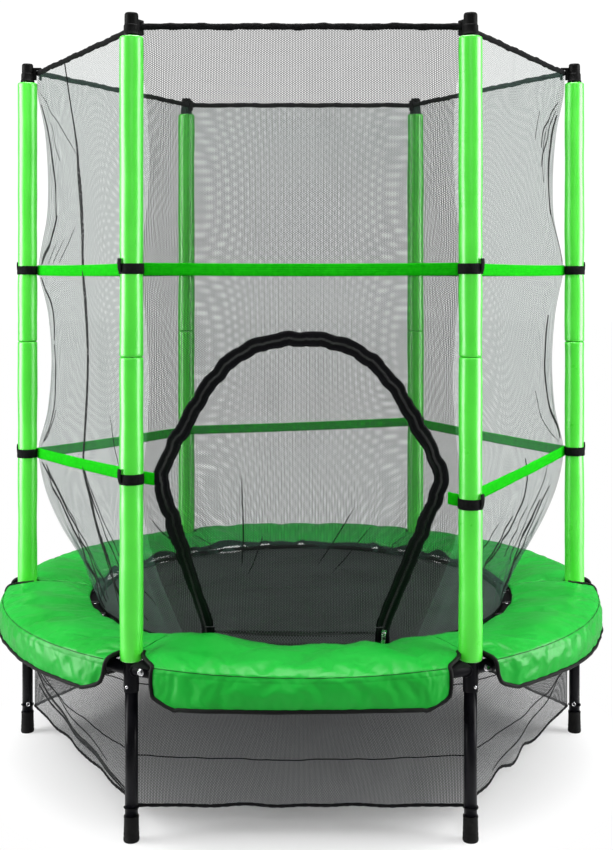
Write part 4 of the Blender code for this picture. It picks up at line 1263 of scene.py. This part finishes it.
# the elastic cord: up through an eyelet, over the ring, round it and back underneath
CORD_R = 0.0025
path = []
for k in range(30):
    here = 12.0 * k
    path += [polar(0.4870, here, 0.3300), polar(0.4868, here, 0.3340), polar(0.4885, here, 0.3366)]
    for j in range(7):
        roll = math.radians(98 - 196 / 6 * j)
        angle = here + 12.0 * (0.5 + 0.05 * (j - 3))
        path.append(polar(R + 0.0153 * math.cos(roll), angle, RING_Z + 0.0153 * math.sin(roll)))
    path.append(polar(0.4890, here + 12.0, 0.3294))
laced = tube("laced_cord", smooth_line(path, 3600, closed=True), CORD_R, ELASTIC, 8, closed=True)
piece(laced, "elastic", "elastic_cord")

# ------------------------------------------------------------------ skirt net
HEM_Z, SKIRT_TOP, SKIRT_R = 0.0585, 0.3140, 0.6380


def skirt_xyz(deg, z, off=0.0):
    deg, z = np.broadcast_arrays(np.asarray(deg, float), np.asarray(z, float))
    rise = np.clip((z - HEM_Z) / (SKIRT_TOP - HEM_Z), 0, 1) ** 1.4
    chord = 1.0 - (1.0 - COS30) * share_of(deg)
    r = SKIRT_R * (chord * (1 - rise) + rise) + off
    local = (deg - 240.0) % 60.0
    free = np.sin(np.pi * local / 60.0)
    a = np.radians(deg)
    r = r + free * 0.0035 * np.sin(a * 19 + z * 8) * (1 - rise * 0.6)
    return np.stack([r * np.cos(a), r * np.sin(a), z], axis=-1)


def hem_height(deg):
    """The hem scallops a little between the legs, most on the front right side."""
    deg = np.asarray(deg, float)
    local = (deg - 240.0) % 60.0
    free = np.sin(np.pi * local / 60.0)
    right = np.exp(-(((deg - 330.0 + 180) % 360 - 180) / 26.0) ** 2)
    return HEM_Z + 0.004 + free * (0.0015 * np.sin(np.radians(deg) * 31)
                                   + 0.0075 * right * np.sin(np.radians(deg) * 24 + 1.0))


for p in range(6):
    n = p + 1
    first = LEG_DEG[p]
    degs = np.linspace(first, first + 60.0, 91)
    t = np.linspace(0, 1, 44)
    low = hem_height(degs)
    top = SKIRT_TOP - (0.022 * np.sin(np.pi * (degs - first) / 60.0) if p == 3 else 0.0)
    zs = low[None, :] + (top - low[None, :]) * t[:, None]
    points = skirt_xyz(degs[None, :], zs)
    u = np.radians(degs)[None, :] * 0.62
    uv = uv_grid(u, zs)
    panel = grid_mesh(f"skirt_panel_{n}", points, SKIRT, uv)
    piece(panel, "skirt_mesh", *(["skirt_net"] if p == 0 else []))

degs = np.linspace(240.0, 600.0, 1081)
ring = circle(10)
rows = [skirt_xyz(degs, hem_height(degs) + 0.0034 * math.sin(a) * (1 + 0.25 * wob(degs * 0.4, 3)),
                  0.0016 * math.cos(a)) for a in ring]
uv = uv_grid((np.radians(degs) * 0.62)[None, :], ring[:, None] * 0.002)
made = grid_mesh("skirt_hem", rows, BAND, uv, wrap_rows=True)
piece(made, "zip_tape")
for tag, z in (("mid", 0.160), ("top", 0.3000)):
    line = skirt_xyz(degs, z + 0.0012 * wob(degs * 0.11, 2.0), 0.0008)
    made = tube(f"skirt_seam_{tag}", line, 0.0011, BAND, 6)
    piece(made, "zip_tape")
for i, c in enumerate(LEG_XY):
    # elastic loop round the leg and the little ring that joins it to the hem
    centre = np.array([*c, 0.0655])
    loop = [centre + np.array([0.0138 * math.cos(a), 0.0138 * math.sin(a),
                               0.0009 * math.sin(2 * a)]) for a in circle(40)]
    loop = tube(f"leg_loop_{i + 1}", loop, 0.0013, BAND, 8, closed=True)
    piece(loop, "zip_tape")
    out = polar(1.0, LEG_DEG[i], 0)
    side = np.array([-out[1], out[0], 0])
    hub = np.array([*c, 0.0705]) - out * 0.0045 + side * (0.0145 if i % 2 else -0.0145)
    ring_path = [hub + out * 0.0034 * math.cos(a) + np.array([0, 0, 0.0042 * math.sin(a)])
                 for a in circle(24)]
    made = tube(f"hem_ring_{i + 1}", ring_path, 0.0010, METAL, 8, closed=True)
    piece(made, "zip_metal")

# ------------------------------------------------------------------ gathered folds in the nets
def fold_line(name, surface, stations, width, count=48, swell=None):
    """A pinched fold: a narrow doubled strip of net that follows its surface."""
    pts = smooth_line(stations, count)
    t = np.linspace(0, 1, count)
    w = width * np.minimum(1.0, np.minimum(t, 1 - t) * 5 + 0.10)
    w = w * (1 + 0.30 * wob(t * len(stations) * 2.2, len(name) + width * 900))
    if swell:
        zs, shares = zip(*swell[::-1])
        w = w * np.interp(pts[:, 1], zs, shares)
    metres = np.stack([np.radians(pts[:, 0]) * 0.56, pts[:, 1]], axis=1)
    tangent = np.gradient(metres, axis=0)
    tangent /= np.linalg.norm(tangent, axis=1)[:, None] + 1e-9
    rows = []
    for v in (-0.5, -0.2, 0.2, 0.5):
        lift = min(0.003, width * 0.5) * (1 - (2 * v) ** 2) + 0.0010
        rows.append(surface(pts[:, 0] + np.degrees(w * v * -tangent[:, 1] / 0.56),
                            pts[:, 1] + w * v * tangent[:, 0], lift))
    run = lengths(metres)
    uv = uv_grid(run[None, :], np.array([0, 0.3, 0.7, 1.0])[:, None] * width)
    piece(grid_mesh(name, rows, DENSE, uv), "net_mesh")


# the joining seam down the left front side, bunched between its ties
join_line = [(198.0, 1.572), (198.0, 1.507), (198.4, 1.449), (200.4, 1.376), (201.6, 1.317),
             (205.4, 1.227), (208.8, 1.155), (210.3, 1.050), (210.2, 0.957), (209.4, 0.834),
             (209.3, 0.713), (211.4, 0.619), (212.5, 0.536), (216.0, 0.450), (221.0, 0.360)]
fold_line("net_join_seam", net_xyz, join_line, 0.0200, count=170,
          swell=[(1.572, 0.35), (1.45, 0.5), (1.30, 1.25), (1.20, 0.9), (1.105, 0.45), (1.03, 1.0),
                 (0.93, 0.5), (0.80, 0.45), (0.69, 0.4), (0.60, 0.9), (0.45, 0.6), (0.36, 0.5)])
for k, (width, line) in enumerate([
        # left side, from the top hem down
        (0.0022, [(181.2, 1.530), (187.0, 1.462), (193.0, 1.410), (199.4, 1.366)]),
        (0.0045, [(181.0, 1.500), (182.4, 1.400), (184.4, 1.310), (188.0, 1.222)]),
        (0.0090, [(188.3, 1.232), (187.2, 1.190), (184.6, 1.150), (182.6, 1.118)]),
        (0.0018, [(183.2, 1.458), (185.4, 1.410), (188.2, 1.358)]),
        (0.0022, [(201.0, 1.200), (197.6, 1.160), (193.6, 1.122)]),
        (0.0018, [(190.4, 1.168), (188.6, 1.142), (186.6, 1.120)]),
        (0.0018, [(195.0, 1.175), (192.0, 1.145), (189.4, 1.120)]),
        (0.0045, [(181.8, 1.088), (185.2, 1.040), (186.2, 0.990), (185.6, 0.940)]),
        (0.0040, [(185.6, 0.930), (186.2, 0.850), (186.8, 0.785), (183.4, 0.700)]),
        (0.0030, [(189.0, 0.780), (186.4, 0.735), (183.0, 0.695)]),
        # left side, spreading from the post and the seam to the rim
        (0.0080, [(182.8, 0.650), (187.0, 0.595), (192.6, 0.530), (197.6, 0.460), (202.0, 0.400),
                  (205.0, 0.352)]),
        (0.0050, [(184.4, 0.648), (190.4, 0.590), (196.6, 0.520), (203.0, 0.445), (207.4, 0.370)]),
        (0.0034, [(186.2, 0.640), (194.4, 0.560), (203.4, 0.470), (211.0, 0.385)]),
        (0.0030, [(209.6, 0.690), (214.2, 0.615), (221.2, 0.535), (228.8, 0.465), (235.0, 0.415)]),
        (0.0036, [(210.2, 0.670), (214.0, 0.590), (218.6, 0.520), (224.8, 0.440), (230.0, 0.372)]),
        (0.0030, [(212.6, 0.545), (213.6, 0.480), (215.0, 0.420), (217.0, 0.360)]),
        (0.0022, [(224.0, 0.800), (227.0, 0.745), (231.0, 0.700)]),
        # right side
        (0.0040, [(358.4, 1.505), (351.6, 1.432), (350.2, 1.388)]),
        (0.0034, [(358.2, 1.485), (353.4, 1.402), (350.4, 1.345)]),
        (0.0070, [(358.8, 1.475), (357.4, 1.390), (356.0, 1.310), (355.4, 1.236)]),
        (0.0030, [(356.4, 1.262), (357.8, 1.190), (358.9, 1.124)]),
        (0.0022, [(353.0, 1.440), (352.0, 1.375), (352.6, 1.310)]),
        (0.0018, [(347.0, 1.470), (345.6, 1.400)]),
        (0.0060, [(352.2, 1.000), (351.6, 0.950), (352.0, 0.860), (354.8, 0.785), (358.2, 0.705)]),
        (0.0024, [(344.8, 0.830), (348.6, 0.760), (356.6, 0.700)]),
        (0.0052, [(334.4, 0.690), (336.8, 0.625), (334.2, 0.575), (325.4, 0.515), (318.0, 0.470)]),
        (0.0030, [(350.2, 0.672), (348.2, 0.600), (341.0, 0.505), (335.8, 0.450)]),
        (0.0046, [(329.4, 0.570), (322.6, 0.512), (316.8, 0.460)]),
        (0.0030, [(321.2, 0.565), (316.0, 0.525), (311.8, 0.492)]),
        (0.0034, [(341.4, 0.572), (336.0, 0.528), (329.8, 0.478)]),
        (0.0076, [(349.6, 0.575), (345.6, 0.500), (341.2, 0.430), (338.0, 0.362)]),
        (0.0050, [(353.6, 0.600), (350.4, 0.520), (346.0, 0.440), (342.6, 0.368)]),
        # by the door
        (0.0022, [(240.8, 0.620), (244.6, 0.565), (246.6, 0.520)]),
        (0.0026, [(258.0, 0.705), (258.2, 0.600), (257.4, 0.520)]),
        (0.0022, [(262.4, 0.590), (260.0, 0.530), (258.4, 0.500)]),
        (0.0026, [(281.0, 0.640), (277.0, 0.570), (273.6, 0.520)]),
        (0.0022, [(284.4, 0.600), (280.0, 0.540), (277.0, 0.505)])]):
    fold_line(f"net_fold_{k + 1}", net_xyz, line, width, count=40)
# folds of the skirt between the left leg and the front left leg
for k, (width, line) in enumerate([
        (0.0080, [(183.0, 0.160), (199.0, 0.122), (219.0, 0.094), (237.0, 0.074)]),
        (0.0060, [(184.0, 0.128), (203.0, 0.104), (236.0, 0.069)]),
        (0.0040, [(186.0, 0.190), (204.0, 0.150), (228.0, 0.104)]),
        (0.0040, [(356.0, 0.180), (340.0, 0.132), (312.0, 0.082)])]):
    fold_line(f"skirt_fold_{k + 1}", skirt_xyz, line, width, count=60)

# ------------------------------------------------------------------ zip slider and pull
foot = front_xyz(HALF_SILL[1], SILL_Z - 0.0125, 0.0, False)
ahead = front_xyz(HALF_SILL[1] + 0.022, 0.455, 0.0, False)
zip_up = (ahead - foot) / np.linalg.norm(ahead - foot)
outward = np.array([foot[0], foot[1], 0.0])
zip_across = np.cross(zip_up, outward / np.linalg.norm(outward))
zip_across /= np.linalg.norm(zip_across)
zip_out = np.cross(zip_across, zip_up)
if zip_out @ outward < 0:
    zip_across, zip_out = -zip_across, -zip_out
STAND = 0.0021


def zip_place(bm, name, swing=0.0, pivot=(0.0, 0.0)):
    c, s = math.cos(swing), math.sin(swing)
    for v in bm.verts:
        across, out_by, up_by = v.co
        o, w = out_by - pivot[0], up_by - pivot[1]
        out_by, up_by = pivot[0] + o * c - w * s, pivot[1] + o * s + w * c
        v.co = Vector(foot + zip_across * across + zip_out * (STAND + out_by) + zip_up * up_by)
    bmesh.ops.recalc_face_normals(bm, faces=bm.faces)
    return from_bmesh(name, bm, METAL)


def plate(outline, low, high, bevel):
    """A bevelled plate: outline across/up, thickness along out."""
    bm = bmesh.new()
    bottom = [bm.verts.new((x, low, z)) for x, z in outline]
    top = [bm.verts.new((x, high, z)) for x, z in outline]
    m = len(outline)
    bm.faces.new(bottom)
    bm.faces.new(top[::-1])
    for k in range(m):
        bm.faces.new((bottom[k], top[k], top[(k + 1) % m], bottom[(k + 1) % m]))
    bmesh.ops.bevel(bm, geom=list(bm.edges), offset=bevel, segments=2, affect="EDGES", profile=0.6)
    return bm


right = [(0.0026, -0.0095), (0.0040, -0.0050), (0.0055, 0.0030), (0.0052, 0.0085), (0.0040, 0.0095)]
shape = [(-0.0026, -0.0095)] + right + [(-x, z) for x, z in right[:0:-1]]
base = zip_place(plate(shape, 0.0018, 0.0036, 0.0005), "base")
arch_path = [(0.0030, -0.0058), (0.0060, -0.0060), (0.0077, -0.0045), (0.0078, 0.0),
             (0.0077, 0.0045), (0.0060, 0.0060), (0.0030, 0.0058)]
arch_pts = [foot + zip_out * (STAND + o) + zip_up * w for o, w in smooth_line(arch_path, 30)]
bridge = tube("bridge", arch_pts, 0.0009, METAL, 10)
slider = join("zip_runner", [base, bridge])
piece(slider, "zip_metal", "zip_slider", body="zip_slider")

lean = math.atan2(-zip_out[2], zip_up[2])
pivot = (0.0052, 0.0019)
frame_path = [(-0.0020, 0.0019), (0.0020, 0.0019), (0.0032, 0.0002), (0.0034, -0.0080),
              (0.0040, -0.0150), (0.0030, -0.0180), (0.0, -0.0188), (-0.0030, -0.0180),
              (-0.0040, -0.0150), (-0.0034, -0.0080), (-0.0032, 0.0002)]
wire = smooth_line(frame_path, 64, closed=True)
c, s = math.cos(lean), math.sin(lean)
wire_pts = []
for across, up_by in wire:
    o, w = 0.0, up_by - pivot[1]
    wire_pts.append(foot + zip_across * across + zip_out * (STAND + pivot[0] + o * c - w * s)
                    + zip_up * (pivot[1] + o * s + w * c))
loop = tube("loop", wire_pts, 0.00062, METAL, 8, closed=True)
tab_shape = [(-0.0030, -0.0100), (0.0030, -0.0100), (0.0037, -0.0150), (0.0027, -0.0178),
             (0.0, -0.0185), (-0.0027, -0.0178), (-0.0037, -0.0150)]
tab = zip_place(plate(tab_shape, pivot[0] - 0.0004, pivot[0] + 0.0004, 0.0002), "tab", lean, pivot)
pull = join("zip_tab", [loop, tab])
piece(pull, "zip_metal", "zip_pull", body="zip_pull")

# ------------------------------------------------------------------ floor and light
def stage_material(name, build):
    """A material whose surface is the shader output that build(m) returns."""
    m = Mat(name, WHITE, 0.5)
    m.tree.links.new(build(m), m.tree.nodes["Material Output"].inputs["Surface"])
    m.tree.nodes.remove(m.shader)
    return m.mat


def staged(name, radius, material, build=bmesh.ops.create_circle, seen_only=True, **shape):
    """Floor, fade or backdrop about the origin; seen_only pieces light nothing."""
    bm = bmesh.new()
    build(bm, radius=radius, **shape)
    made = from_bmesh(name, bm, material)
    if seen_only:
        made.visible_diffuse = made.visible_glossy = made.visible_shadow = False
    made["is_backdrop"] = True
    return made


def floor_shader(m):
    """Pale under the object and darker further out, so the floor doesn't light it from below."""
    pale = m.span(m.vector_math("LENGTH", i0=m.obj), 0.74, 1.00, 0.93, 0.22)
    return m.node("ShaderNodeBsdfDiffuse", Color=pale).outputs[0]


def fade_shader(m):
    """Clear by the object and white away from it."""
    away = m.vector_math("LENGTH", i0=m.obj)
    ramp = m.node("ShaderNodeMapRange", Value=away, From_Min=0.50, From_Max=0.78)
    ramp.interpolation_type = "SMOOTHSTEP"
    clear = m.node("ShaderNodeBsdfTransparent").outputs[0]
    glow = m.node("ShaderNodeEmission", Color=(*WHITE, 1.0), Strength=1.0).outputs[0]
    return m.node("ShaderNodeMixShader", i0=ramp.outputs[0], i1=clear, i2=glow).outputs[0]


def sky_shader(m):
    return m.node("ShaderNodeEmission", Color=(*WHITE, 1.0), Strength=1.05).outputs[0]


staged("floor", 20.0, stage_material("floor", floor_shader), seen_only=False, cap_ends=True,
       segments=64)
veil = staged("floor_fade", 27.8, stage_material("floor_fade", fade_shader), cap_ends=True,
              segments=64)
veil.location.z = 0.0004
# a white backdrop that only the camera sees, so it doesn't grey the black parts
staged("backdrop", 28.0, stage_material("backdrop", sky_shader), bmesh.ops.create_uvsphere,
       u_segments=48, v_segments=24)

world = bpy.data.worlds.new("world")
scene.world = world
world.use_nodes = True
world.node_tree.nodes["Background"].inputs["Color"].default_value = (1.0, 1.0, 1.0, 1.0)
world.node_tree.nodes["Background"].inputs["Strength"].default_value = 0.22


def area(name, location, target, size, power, size_y):
    data = bpy.data.lights.new(name, "AREA")
    data.energy = power
    data.shape = "RECTANGLE"
    data.size, data.size_y = size, size_y
    made = bpy.data.objects.new(name, data)
    scene.collection.objects.link(made)
    made.location = location
    made.rotation_euler = (Vector(target) - Vector(location)).to_track_quat("-Z", "Y").to_euler()
    return made


area("left_box", (-3.0, -0.65, 1.3), (0, -0.2, 0.9), 2.0, 140, 2.8)
area("right_box", (3.0, -0.65, 1.3), (0, -0.2, 0.9), 2.0, 140, 2.8)
area("top_box", (0.0, -0.1, 3.9), (0, 0, 0.3), 2.6, 215, 2.6)
fill = area("front_fill", (0.3, -5.2, 2.6), (0, 0, 0.7), 2.4, 112, 2.0)
fill.visible_glossy = False  # its reflection would streak the sleeves
scene.cycles.transparent_max_bounces = 32

low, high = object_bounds()
({"cad": [cad_low, cad_high],
           "visual": [[float(v) for v in low], [float(v) for v in high]]})
